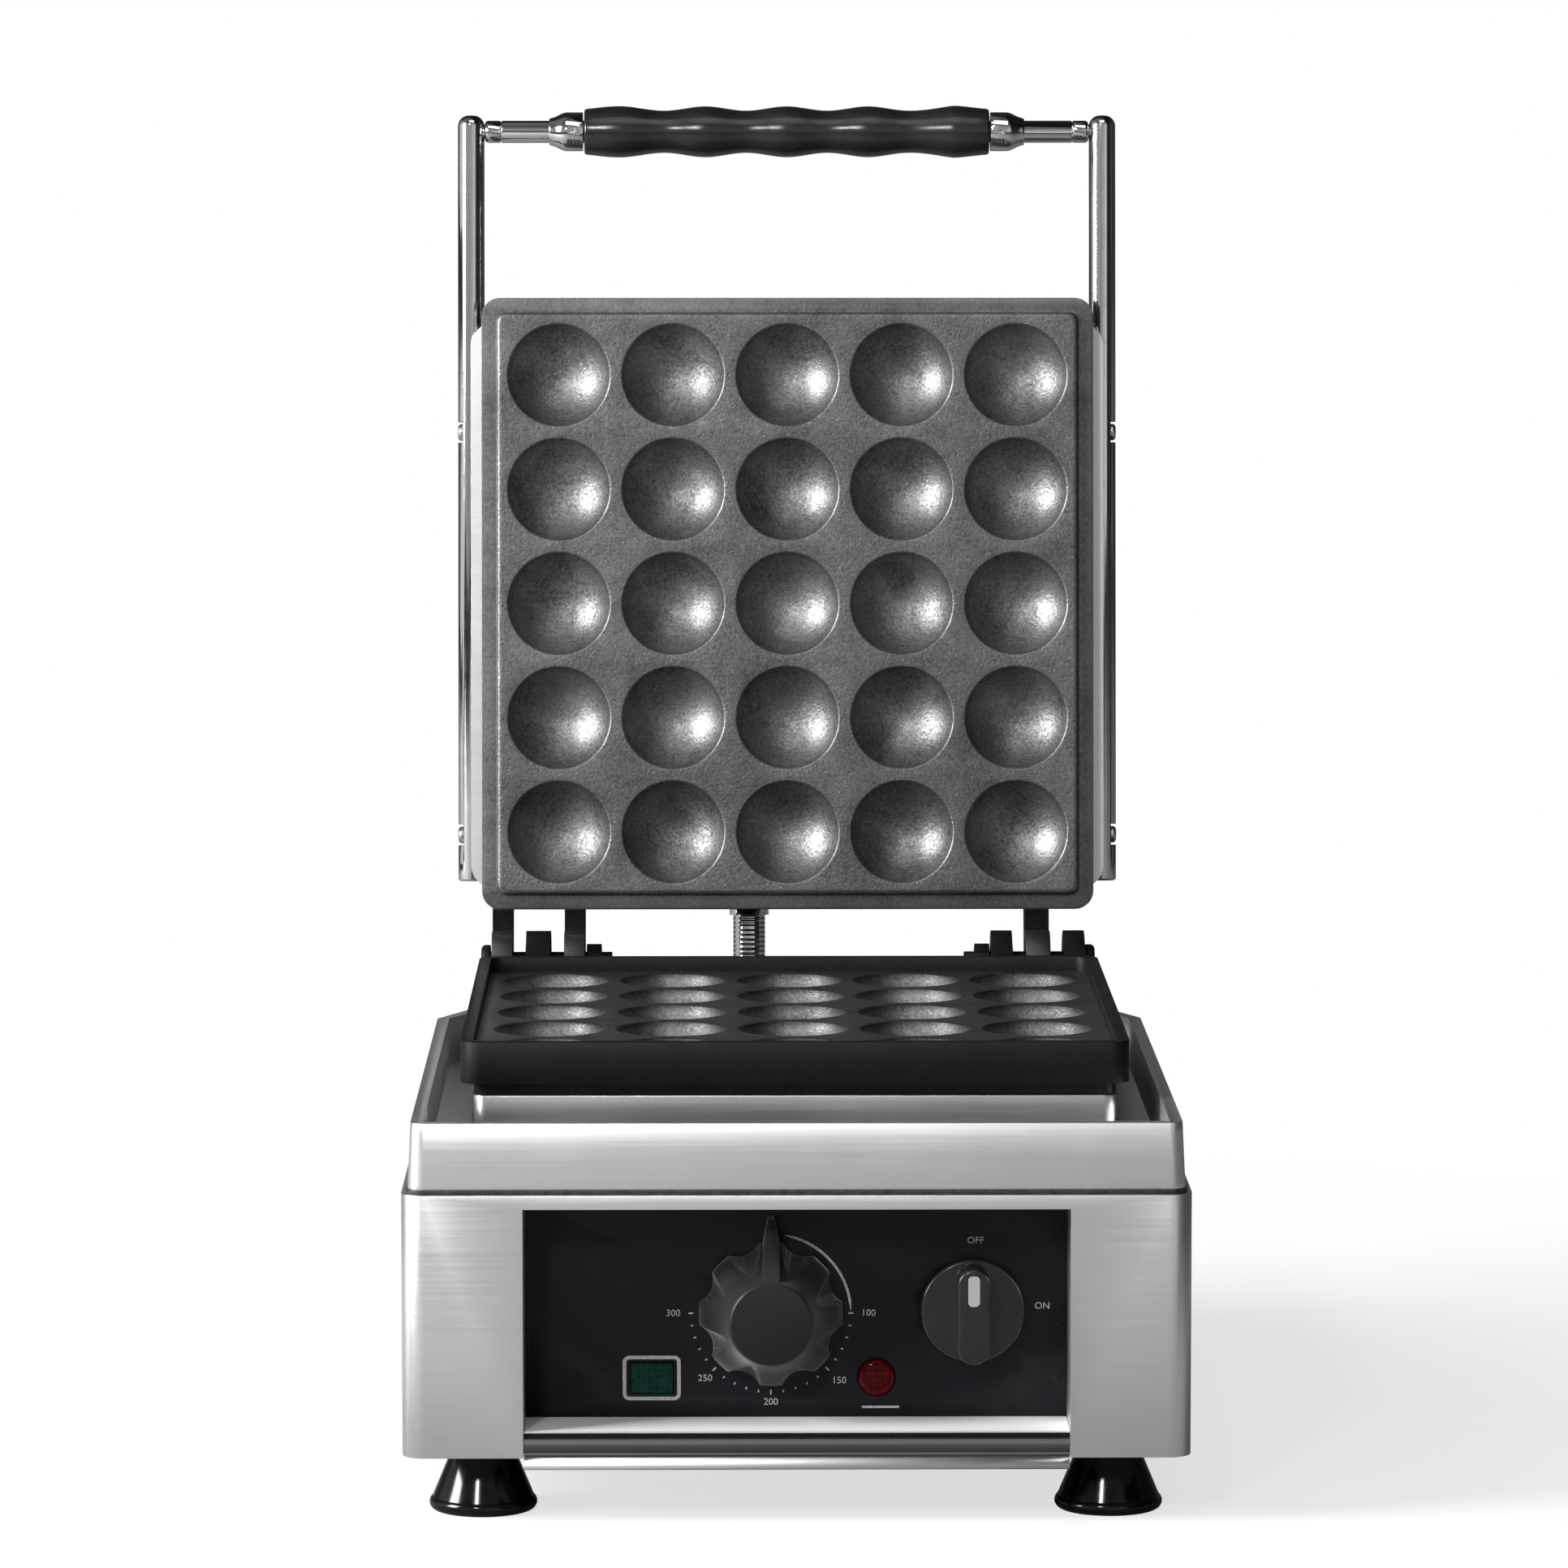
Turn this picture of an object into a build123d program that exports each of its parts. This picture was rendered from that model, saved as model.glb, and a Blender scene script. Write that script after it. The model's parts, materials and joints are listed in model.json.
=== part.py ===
from build123d import *
import math
import os

os.makedirs("parts", exist_ok=True)

# All sizes are in millimetres. While it is modelled the machine stands on z = 0, its front face is
# at y = 0 and y grows towards the back. The last step centres it over the origin.

# Sheet and clearances
SHEET = 1.2
SEAT_GAP = 0.2
RUNNING_GAP = 0.06
MOVING_GAP = 0.6

# Body: housing, base pan and feet
BODY_WIDTH = 305.0
BODY_DEPTH = 370.0
BODY_HEIGHT = 102.5
FRONT_CORNER_R = 9.0
REAR_TAPER_IN = 30.0
REAR_TAPER_BACK = 70.0
BODY_FLANGE = 12.0
FOOT_HEIGHT = 26.0
FOOT_BASE_R = 21.0
FOOT_TOP_R = 12.0
FOOT_EDGE_R = 4.0
FOOT_EDGE_IN = 1.2
FOOT_COLLAR = 2.0
FOOT_BORE_R = 2.5
FRONT_FOOT_INSET = 30.5
REAR_FOOT_INSET = 24.5
FOOT_INSET = 34.0
PAN_LIP = 12.0

# Control recess, rail and panel
RECESS_WIDTH = 211.0
RECESS_DEPTH = 30.0
RECESS_HEAD = 5.5
RECESS_SILL = 10.5
PANEL_THICK = 2.0
PANEL_FLANGE = 7.0
RAIL_DROP = 5.0
RAIL_NOSE_R = 2.6
RAIL_REACH = 4.0
RAIL_LIP = 3.7
RAIL_LIP_R = 2.6
RAIL_GROOVE = 1.4
RAIL_BAND_SETBACK = 0.5
RAIL_BAND_LEAN = 1.0

# Deck with its drip tray
DECK_INSET = 2.4
SKIRT_HEIGHT = 27.5
SKIRT_TAPER = 2.8
DECK_RIM = 5.0
TRAY_DEPTH = 20.0

# Controls on the panel
DIAL_X = -9.8
DIAL_Z = 77.4
KNOB_LENGTH = 27.0
KNOB_BASE_R = 28.0
KNOB_CAP_R = 16.4
KNOB_LOBES = 8
KNOB_FLUTE_R = 11.0
KNOB_FLUTE_TIP_R = 3.0
KNOB_FLUTE_DEPTH = 2.5
KNOB_POINTER_REACH = 38.5
KNOB_POINTER_WIDTH = 6.5
SPINDLE_R = 3.0
SWITCH_X = 68.6
SWITCH_Z = 78.9
SWITCH_DISC_R = 20.2
SWITCH_DISC_THICK = 5.0
SWITCH_GRIP_LENGTH = 37.5
SWITCH_GRIP_WIDTH = 12.5
SWITCH_GRIP_HEIGHT = 19.0
MARKER_LENGTH = 12.0
MARKER_WIDTH = 4.6
MARKER_THICK = 0.8
GREEN_LAMP_X = -56.2
RED_LAMP_X = 31.3
LAMP_Z = 52.0
GREEN_LENS = (17.0, 12.4)
RED_LENS_R = 7.4
LAMP_PROUD = 1.6
LAMP_BODY_LENGTH = 24.0
KNOB_STANDOFF = 0.8
SPINDLE_BACK = 16.0
THERMOSTAT_REACH = 14.0
SWITCH_REACH = 11.0
CAN_R = 16.0
CAN_DEPTH = 6.0
THERMOSTAT_WIDTH = 36.0
THERMOSTAT_HEIGHT = 34.0
THERMOSTAT_DEPTH = 18.0
COLLAR_R = 11.0
COLLAR_DEPTH = 4.0
SWITCH_BODY_SIDE = 34.0
SWITCH_BODY_DEPTH = 28.0
TAB_LENGTH = 8.0
TAB_WIDTH = 6.0
TAB_THICK = 0.8

# Cast plates
PLATE_WIDTH = 263.0
PLATE_LENGTH = 263.0
PLATE_FRONT = 64.0
PLATE_CORNER_R = 8.0
RIM_TOP_Z = 179.0
LOWER_WALL = 16.5
RIM_WIDTH = 5.0
RIM_HEIGHT = 6.0
BAND_HEIGHT = 5.0
BAND_INSET = 5.2
UPPER_WALL = 12.0
PLATEAU_HEIGHT = 3.0
PLATEAU_GAP = 1.4
CLOSED_GAP = 0.5
CUP_COUNT = 5
CUP_LAND = 5.1
CUP_MARGIN = 8.75
CUP_DEPTH = 14.0
CUP_FLOOR = 6.0
PAD_MARGIN = 20.0

# Hinge
AXIS_Z = 174.0
AXIS_SETBACK = 22.0
OPEN_ANGLE = 96.0
HINGE_INSET = 24.5
FORK_INNER = 11.0
FORK_THICK = 9.0
TONGUE_THICK = 10.6
LUG_R = 13.0
LUG_ARM = 13.0
PIN_R = 4.0
PIN_HEAD_R = 7.0
PIN_HEAD_THICK = 4.0
NUT_FLATS = 13.0
NUT_THICK = 6.5
PIN_TAIL = 4.5

# Heaters and insulation under and over the plates
PEDESTAL_INSET = 4.4
PEDESTAL_FLANGE = 13.0
PEDESTAL_CORNER_R = 6.0
ELEMENT_R = 3.5
ELEMENT_RUNS = 4
ELEMENT_INSET_X = 38.0
ELEMENT_INSET_Y = 16.5
ELEMENT_LEG = 30.0
CLAMP_THICK = 2.5
INSULATION_THICK = 5.0
STUD_R = 3.0
STUD_INSET_X = 11.5
STUD_INSET_Y = 13.5
STUD_NUT_R = 5.5
STUD_NUT_THICK = 4.0
BOARD_MARGIN = 4.0

# Lid cover and handle
COVER_WIDTH = 261.0
COVER_START = 31.0
COVER_LENGTH = 244.0
COVER_LIP = 6.0
COVER_DEPTH = 34.0
COVER_CORNER_R = 10.0
COVER_EDGE_R = 6.0
ROD_R = 5.75
ROD_START = 34.0
ROD_LENGTH = 331.0
ROD_SCREWS = (54.0, 228.0)
ROD_NOTCH = 9.0
ROD_NOTCH_DEPTH = 2.4
ROD_SCREW_R = 2.0
ROD_SCREW_HEAD_R = 3.6
BAR_R = 4.8
BAR_POSITION = 358.0
BAR_SPIGOT_R = 3.0
BAR_SPIGOT = 5.0
BAR_GROOVE = 7.0
GRIP_LENGTH = 175.0
GRIP_BULGES = 5
GRIP_BULGE_R = 11.0
GRIP_WAIST_R = 9.1
GRIP_END_R = 9.8
GRIP_EDGE_R = 1.2
FERRULE_LENGTH = 14.5
FERRULE_R = 8.4
SET_SCREW_R = 1.5
COVER_SCREW_R = 2.5
COVER_SCREW_HEAD_R = 5.0
COVER_SCREW_HEAD = 2.6

# Conduit that carries the lid heater's wires past the hinge
CONDUIT_X = -16.5
CONDUIT_R = 7.0
CONDUIT_WALL = 1.0
CONDUIT_FROM_COVER = 23.0
GLAND_LENGTH = 12.0
GLAND_R = 10.5
ELBOW_Z = 61.0
ELBOW_STAND = 24.0

# Mains gland and the parts on the rear cover
REAR_COVER_HEIGHT = 84.0
REAR_COVER_MARGIN = 13.0
REAR_OPENING_MARGIN = 12.0
REAR_SCREW_R = 2.0
REAR_SCREW_HEAD_R = 3.6
REAR_SCREW_HEAD = 2.2
REAR_SCREW_LENGTH = 7.0
VENT_COUNT = 9
VENT_LENGTH = 26.0
VENT_WIDTH = 3.0
VENT_PITCH = 8.0
REAR_VENT_X = -60.0
REAR_VENT_RISE = 63.55
PAN_VENT_BACK = 222.0
PAN_VENT_SPACING = 41.6
MAINS_GLAND_INSET = 39.5
MAINS_GLAND_Z = 61.0
MAINS_GLAND_R = 9.0
MAINS_GLAND_LENGTH = 16.0
MAINS_BORE_R = 4.0
MAINS_GLAND_TAIL = 12.0
GLAND_HEX = 6.0
ELBOW_RISE = 14.0
BLOCK_WAYS = 3
BLOCK_WIDTH = 60.0
BLOCK_DEPTH = 22.0
BLOCK_HEIGHT = 18.0
BLOCK_SCREW_R = 3.0
BLOCK_X = 60.0
BLOCK_INSET = 70.0

# Levels and places that follow from the sizes above
BODY_BOTTOM = FOOT_HEIGHT
BODY_TOP = BODY_BOTTOM + BODY_HEIGHT
DECK_TOP = BODY_TOP + SKIRT_HEIGHT
TRAY_FLOOR = DECK_TOP - TRAY_DEPTH
SILL_Z = BODY_BOTTOM + RECESS_SILL
RECESS_TOP = BODY_TOP - RECESS_HEAD
PANEL_FRONT = RECESS_DEPTH
PANEL_BACK = RECESS_DEPTH + PANEL_THICK
AXIS_Y = PLATE_FRONT + PLATE_LENGTH + AXIS_SETBACK
PLATE_MID = AXIS_SETBACK + PLATE_LENGTH / 2
RIM_TOP_H = RIM_TOP_Z - AXIS_Z
LOWER_FACE_H = RIM_TOP_H - RIM_HEIGHT
BAND_BOTTOM_H = RIM_TOP_H - LOWER_WALL - BAND_HEIGHT
LOWER_PAD_H = LOWER_FACE_H - CUP_DEPTH - CUP_FLOOR
FLANGE_H = RIM_TOP_H + CLOSED_GAP
UPPER_FACE_H = FLANGE_H - PLATEAU_HEIGHT
UPPER_WALL_H = FLANGE_H + UPPER_WALL
UPPER_PAD_H = UPPER_FACE_H + CUP_DEPTH + CUP_FLOOR
COVER_BACK_H = UPPER_WALL_H + COVER_DEPTH
GLAND_H = UPPER_WALL_H + CONDUIT_FROM_COVER
CUP_PITCH_X = (PLATE_WIDTH - 2 * CUP_MARGIN) / CUP_COUNT
CUP_PITCH_Y = (PLATE_LENGTH - 2 * CUP_MARGIN) / CUP_COUNT
CUP_R = (min(CUP_PITCH_X, CUP_PITCH_Y) - CUP_LAND) / 2
CUP_SPHERE_R = (CUP_R ** 2 + CUP_DEPTH ** 2) / (2 * CUP_DEPTH)
HINGE_X = PLATE_WIDTH / 2 - HINGE_INSET
PAD_WIDTH = PLATE_WIDTH - 2 * PAD_MARGIN
PAD_LENGTH = PLATE_LENGTH - 2 * PAD_MARGIN
FRONT_FOOT_X = BODY_WIDTH / 2 - FRONT_FOOT_INSET
REAR_FOOT_X = BODY_WIDTH / 2 - REAR_TAPER_IN - REAR_FOOT_INSET
STUD_X = PAD_WIDTH / 2 - STUD_INSET_X
STUD_Y = PAD_LENGTH / 2 - STUD_INSET_Y
ELEMENT_PITCH = (PAD_WIDTH - 2 * ELEMENT_INSET_X) / (ELEMENT_RUNS - 1)
ELEMENT_LENGTH = PAD_LENGTH - 2 * ELEMENT_INSET_Y
PEDESTAL_TOP = AXIS_Z + BAND_BOTTOM_H
PEDESTAL_WIDTH = PLATE_WIDTH - 2 * PEDESTAL_INSET
PEDESTAL_LENGTH = PLATE_LENGTH - 2 * PEDESTAL_INSET
FORK_OUTER = FORK_INNER + FORK_THICK
ROD_X = COVER_WIDTH / 2 + ROD_R + SEAT_GAP
ROD_H = UPPER_WALL_H + SHEET + ROD_R + SEAT_GAP
REAR_FOOT_Y = BODY_DEPTH - FOOT_INSET
REAR_COVER_WIDTH = BODY_WIDTH - 2 * REAR_TAPER_IN - 2 * REAR_COVER_MARGIN
MAINS_GLAND_X = REAR_COVER_WIDTH / 2 - MAINS_GLAND_INSET
REAR_COVER_BOTTOM = BODY_BOTTOM + (BODY_HEIGHT - REAR_COVER_HEIGHT) / 2

pieces = {}


def slab(width, length, height, corner, at=(0, 0, 0)):
    """A plate with rounded corners in plan, centred on `at` and rising from it."""
    sketch = RectangleRounded(width, length, corner)
    return Pos(*at) * extrude(sketch, height)


def ring(outer_r, inner_r, height):
    return Cylinder(outer_r, height) - Cylinder(inner_r, height * 2)


def plan_outline(inset):
    """The body's plan, moved inwards: rounded front corners and cut back rear corners."""
    half = BODY_WIDTH / 2 - inset
    rear_half = BODY_WIDTH / 2 - REAR_TAPER_IN - inset
    back = BODY_DEPTH - inset
    taper_start = BODY_DEPTH - REAR_TAPER_BACK
    edges = Polyline((-half, inset), (half, inset), (half, taper_start), (rear_half, back),
                     (-rear_half, back), (-half, taper_start), close=True)
    face = make_face(edges)
    front = [v for v in face.vertices() if v.Y < inset + 1]
    return fillet(front, max(FRONT_CORNER_R - inset, 1.0))


def plan_layer(inset, bottom, top):
    return Pos(0, 0, bottom) * extrude(plan_outline(inset), top - bottom)


def box_between(low, high):
    size = [b - a for a, b in zip(low, high)]
    middle = [(a + b) / 2 for a, b in zip(low, high)]
    return Pos(*middle) * Box(*size)


def on_axis(shape):
    """Moves a piece from the hinge's own frame (axis at the origin, forward is -y) to the machine."""
    return Pos(0, AXIS_Y, AXIS_Z) * shape


def on_lid(shape):
    """Places a lid piece, modelled closed in the hinge's frame, at the open rest position."""
    return Pos(0, AXIS_Y, AXIS_Z) * Rot(-OPEN_ANGLE, 0, 0) * shape


def facing_front(shape):
    """Turns a piece built along +z so that it points out of the panel, along -y."""
    return Rot(90, 0, 0) * shape


# Housing: one folded sheet with the open recess between two front wings
def housing():
    shell = plan_layer(0, BODY_BOTTOM, BODY_TOP) - plan_layer(SHEET, BODY_BOTTOM - 1, BODY_TOP + 1)
    flange = plan_layer(SHEET / 2, BODY_TOP - SHEET, BODY_TOP)
    flange -= plan_layer(BODY_FLANGE, BODY_TOP - 2 * SHEET, BODY_TOP + 1)
    half = RECESS_WIDTH / 2
    mouth = box_between((-half, -1, BODY_BOTTOM - 1), (half, SHEET + 1, RECESS_TOP))
    shell = shell - mouth + flange
    back = RECESS_DEPTH + PANEL_THICK
    for side in (-1, 1):
        outer = side * (half + SHEET)
        inner = side * half
        low_x, high_x = min(outer, inner), max(outer, inner)
        shell += box_between((low_x, 0, BODY_BOTTOM), (high_x, back + SHEET, RECESS_TOP + SHEET))
        lip_low = min(outer, side * (half - PANEL_FLANGE))
        lip_high = max(outer, side * (half - PANEL_FLANGE))
        shell += box_between((lip_low, back, SILL_Z + 2), (lip_high, back + SHEET, RECESS_TOP + SHEET))
    shell += box_between((-half, 0, RECESS_TOP), (half, back + SHEET, RECESS_TOP + SHEET))
    shell += box_between((-half, back, RECESS_TOP - PANEL_FLANGE), (half, back + SHEET, RECESS_TOP))
    inner_width = REAR_COVER_WIDTH - 2 * REAR_OPENING_MARGIN
    inner_height = REAR_COVER_HEIGHT - 2 * REAR_OPENING_MARGIN
    shell -= Pos(0, BODY_DEPTH, BODY_BOTTOM + BODY_HEIGHT / 2) * Box(inner_width, 6, inner_height)
    for x, z in rear_screw_places():
        shell -= Pos(x, BODY_DEPTH, z) * Rot(90, 0, 0) * Cylinder(REAR_SCREW_R + SEAT_GAP, 12)
    return shell


# Base pan: floor of the body, let into the housing, with a turned-up lip and vents
def base_pan():
    fit = SHEET + SEAT_GAP
    pan = plan_layer(fit, BODY_BOTTOM, BODY_BOTTOM + PAN_LIP)
    pan -= plan_layer(fit + SHEET, BODY_BOTTOM + SHEET, BODY_BOTTOM + PAN_LIP + 1)
    half = RECESS_WIDTH / 2 + SHEET + SEAT_GAP
    pan -= box_between((-half, -1, BODY_BOTTOM - 1), (half, RECESS_DEPTH + PANEL_THICK + 4, SILL_Z + 20))
    middle = Pos(0, PAN_VENT_BACK, BODY_BOTTOM)
    slots = middle * GridLocations(VENT_PITCH, PAN_VENT_SPACING, VENT_COUNT, 2)
    for spot in slots:
        pan -= spot * Box(VENT_WIDTH, VENT_LENGTH, 4 * SHEET)
    for spot in foot_places():
        pan -= Pos(*spot, BODY_BOTTOM) * Cylinder(FOOT_BORE_R + SEAT_GAP, 4 * SHEET)
    return pan


# Front rail: ledge with a rounded lip, a groove, a plain band and a rolled nose
def front_rail():
    reach = RECESS_DEPTH + PANEL_THICK + RAIL_REACH
    band_top = SILL_Z - RAIL_LIP - RAIL_GROOVE
    nose_z = BODY_BOTTOM - RAIL_DROP + RAIL_NOSE_R
    back = RAIL_NOSE_R * 2
    outline = [(reach, SILL_Z), (RAIL_LIP_R, SILL_Z)]
    lip_arc = ThreePointArc((RAIL_LIP_R, SILL_Z), (RAIL_LIP_R * 0.293, SILL_Z - RAIL_LIP_R * 0.293),
                            (0, SILL_Z - RAIL_LIP_R))
    nose_top, nose_foot = nose_z + RAIL_NOSE_R, nose_z - RAIL_NOSE_R
    nose_arc = ThreePointArc((RAIL_NOSE_R, nose_top), (0, nose_z), (RAIL_NOSE_R, nose_foot))
    face = make_face([
        Line(*outline),
        lip_arc,
        Polyline((0, SILL_Z - RAIL_LIP_R), (0, SILL_Z - RAIL_LIP), (RAIL_GROOVE, SILL_Z - RAIL_LIP),
                 (RAIL_GROOVE, band_top), (RAIL_BAND_SETBACK, band_top),
                 (RAIL_BAND_SETBACK + RAIL_BAND_LEAN, nose_top), (RAIL_NOSE_R, nose_top)),
        nose_arc,
        Polyline((RAIL_NOSE_R, nose_foot), (back, nose_foot + SHEET), (back, SILL_Z - SHEET),
                 (reach - SHEET, SILL_Z - SHEET), (reach - SHEET, BODY_BOTTOM), (reach, BODY_BOTTOM),
                 (reach, SILL_Z)),
    ])
    length = RECESS_WIDTH - 2 * SEAT_GAP
    return Pos(-length / 2, 0, 0) * extrude(Plane.YZ * face, length)


# Control panel with the holes for the two spindles and the two lamps
def control_panel():
    width = RECESS_WIDTH - 2 * SEAT_GAP
    height = RECESS_TOP - SILL_Z - SEAT_GAP
    panel = box_between((-width / 2, PANEL_FRONT, SILL_Z), (width / 2, PANEL_BACK, SILL_Z + height))
    drill = Rot(90, 0, 0) * Cylinder(SPINDLE_R + 1, 10)
    panel -= Pos(DIAL_X, PANEL_FRONT, DIAL_Z) * drill
    panel -= Pos(SWITCH_X, PANEL_FRONT, SWITCH_Z) * drill
    panel -= Pos(GREEN_LAMP_X, PANEL_FRONT, LAMP_Z) * Box(GREEN_LENS[0], 10, GREEN_LENS[1])
    panel -= Pos(RED_LAMP_X, PANEL_FRONT, LAMP_Z) * Rot(90, 0, 0) * Cylinder(RED_LENS_R, 10)
    return panel


# Rear cover: screwed plate with vents, the mains gland's hole and the conduit's hole
def rear_cover():
    plate = Pos(0, BODY_DEPTH + SHEET / 2, BODY_BOTTOM + BODY_HEIGHT / 2) * Box(
        REAR_COVER_WIDTH, SHEET, REAR_COVER_HEIGHT)
    plate = fillet(plate.edges().filter_by(Axis.Y), 5)
    vents = Plane.XZ.offset(-BODY_DEPTH) * Pos(REAR_VENT_X, BODY_BOTTOM + REAR_VENT_RISE)
    for spot in vents * GridLocations(VENT_PITCH, VENT_LENGTH, VENT_COUNT, 1):
        plate -= spot * Box(VENT_WIDTH, VENT_LENGTH, 8)
    through = Rot(90, 0, 0) * Cylinder(MAINS_BORE_R + 3, 12)
    plate -= Pos(MAINS_GLAND_X, BODY_DEPTH, MAINS_GLAND_Z) * through
    plate -= Pos(CONDUIT_X, BODY_DEPTH, ELBOW_Z) * through
    for x, z in rear_screw_places():
        plate -= Pos(x, BODY_DEPTH, z) * Rot(90, 0, 0) * Cylinder(REAR_SCREW_R + SEAT_GAP, 12)
    return plate


def rear_screw_places():
    inset = 6.0
    x = REAR_COVER_WIDTH / 2 - inset
    low = REAR_COVER_BOTTOM + inset
    high = REAR_COVER_BOTTOM + REAR_COVER_HEIGHT - inset
    return [(-x, low), (x, low), (-x, high), (x, high)]


def pan_head(head_r, head, shank_r, shank):
    """A screw along +z with the underside of its domed head at z = 0."""
    dome = Pos(0, 0, head / 2) * Cylinder(head_r, head)
    dome = fillet(dome.edges().sort_by(Axis.Z)[-1], head * 0.6)
    dome -= Pos(0, 0, head) * Box(head_r * 1.3, 0.9, 1.6)
    return dome + Pos(0, 0, -shank / 2) * Cylinder(shank_r, shank)


def rear_screws():
    head = pan_head(REAR_SCREW_HEAD_R, REAR_SCREW_HEAD, REAR_SCREW_R, REAR_SCREW_LENGTH)
    screw = Rot(-90, 0, 0) * head
    return Compound([Pos(x, BODY_DEPTH + SHEET, z) * screw for x, z in rear_screw_places()])


# Deck: tapered skirt, rolled rim and a deep drip tray round the pedestal
def top_deck():
    skirt = extrude(plan_outline(DECK_INSET), SKIRT_HEIGHT, taper=SKIRT_TAPER)
    deck = Pos(0, 0, BODY_TOP) * skirt
    lean = SKIRT_HEIGHT * math.tan(math.radians(SKIRT_TAPER))
    well = DECK_INSET + lean + DECK_RIM
    deck -= plan_layer(well, TRAY_FLOOR, DECK_TOP + 1)
    hollow = DECK_INSET + lean + SHEET
    deck -= plan_layer(hollow, BODY_TOP - 1, TRAY_FLOOR - SHEET)
    channel = plan_layer(hollow, TRAY_FLOOR - 2 * SHEET, DECK_TOP - SHEET)
    channel -= plan_layer(well - SHEET, TRAY_FLOOR - 3 * SHEET, DECK_TOP + 1)
    deck -= channel
    for x in (-ELEMENT_PITCH * (ELEMENT_RUNS - 1) / 2, ELEMENT_PITCH * (ELEMENT_RUNS - 1) / 2):
        deck -= Pos(x, PLATE_FRONT + PLATE_LENGTH / 2 + ELEMENT_LENGTH / 2, TRAY_FLOOR) * Cylinder(
            ELEMENT_R + 2, 10)
    for spot in stud_places():
        deck -= Pos(*spot, TRAY_FLOOR) * Cylinder(STUD_R + SEAT_GAP, 10)
    return deck


def stud_places():
    middle = PLATE_FRONT + PLATE_LENGTH / 2
    return [(x, middle + y) for x in (-STUD_X, STUD_X) for y in (-STUD_Y, STUD_Y)]


# Pedestal: the stainless box that lifts the lower plate off the tray
def pedestal():
    middle = PLATE_FRONT + PLATE_LENGTH / 2
    height = PEDESTAL_TOP - TRAY_FLOOR
    at = (0, middle, TRAY_FLOOR)
    box = slab(PEDESTAL_WIDTH, PEDESTAL_LENGTH, height, PEDESTAL_CORNER_R, at)
    inner = PEDESTAL_CORNER_R - SHEET
    box -= slab(PEDESTAL_WIDTH - 2 * SHEET, PEDESTAL_LENGTH - 2 * SHEET, height - 2 * SHEET, inner,
                (0, middle, TRAY_FLOOR + SHEET))
    mouth = 2 * PEDESTAL_FLANGE
    box -= slab(PEDESTAL_WIDTH - mouth, PEDESTAL_LENGTH - mouth, height + 2, inner,
                (0, middle, TRAY_FLOOR - 1))
    return box


def hinge_lug(low_x, high_x, arm_low, arm_high):
    """A lug across x from low_x to high_x, round about the axis, with an arm forward to a plate."""
    profile = Circle(LUG_R)
    arm = make_face(Polyline((0, arm_low), (AXIS_SETBACK + 3, arm_low), (AXIS_SETBACK + 3, arm_high),
                             (0, LUG_R), close=True))
    lug = extrude(Plane.YZ * (profile + mirror(arm, Plane.YZ)), high_x - low_x)
    return Pos(low_x, 0, 0) * lug


def cup_places():
    return Pos(0, -PLATE_MID, 0) * GridLocations(CUP_PITCH_X, CUP_PITCH_Y, CUP_COUNT, CUP_COUNT)


def fork(center, arm_low, arm_high):
    lugs = hinge_lug(center - FORK_OUTER, center - FORK_INNER, arm_low, arm_high)
    return lugs + hinge_lug(center + FORK_INNER, center + FORK_OUTER, arm_low, arm_high)


def tongue(center, arm_low, arm_high):
    return hinge_lug(center - TONGUE_THICK / 2, center + TONGUE_THICK / 2, arm_low, arm_high)


# Lower plate: cast tray of cups with a raised rim, a fork on the right and a tongue on the left
def lower_plate():
    middle = (0, -PLATE_MID)
    body = slab(PLATE_WIDTH, PLATE_LENGTH, LOWER_WALL, PLATE_CORNER_R, (*middle, RIM_TOP_H - LOWER_WALL))
    well = 2 * RIM_WIDTH
    body -= slab(PLATE_WIDTH - well, PLATE_LENGTH - well, RIM_HEIGHT + 1, PLATE_CORNER_R - 3,
                 (*middle, LOWER_FACE_H))
    step = 2 * BAND_INSET
    body += slab(PLATE_WIDTH - step, PLATE_LENGTH - step, BAND_HEIGHT, PLATE_CORNER_R - 3,
                 (*middle, BAND_BOTTOM_H))
    body += slab(PAD_WIDTH, PAD_LENGTH, BAND_BOTTOM_H - LOWER_PAD_H, 5, (*middle, LOWER_PAD_H))
    body += tongue(-HINGE_X, RIM_TOP_H - LUG_ARM, RIM_TOP_H - 1.5)
    body += fork(HINGE_X, RIM_TOP_H - LUG_ARM, RIM_TOP_H - 1.5)
    for spot in cup_places():
        body -= spot * Pos(0, 0, LOWER_FACE_H - CUP_DEPTH + CUP_SPHERE_R) * Sphere(CUP_SPHERE_R)
    for side in (-1, 1):
        body -= Pos(side * HINGE_X, 0, 0) * Rot(0, 90, 0) * Cylinder(PIN_R + RUNNING_GAP, 4 * LUG_R)
    return on_axis(body)


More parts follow.
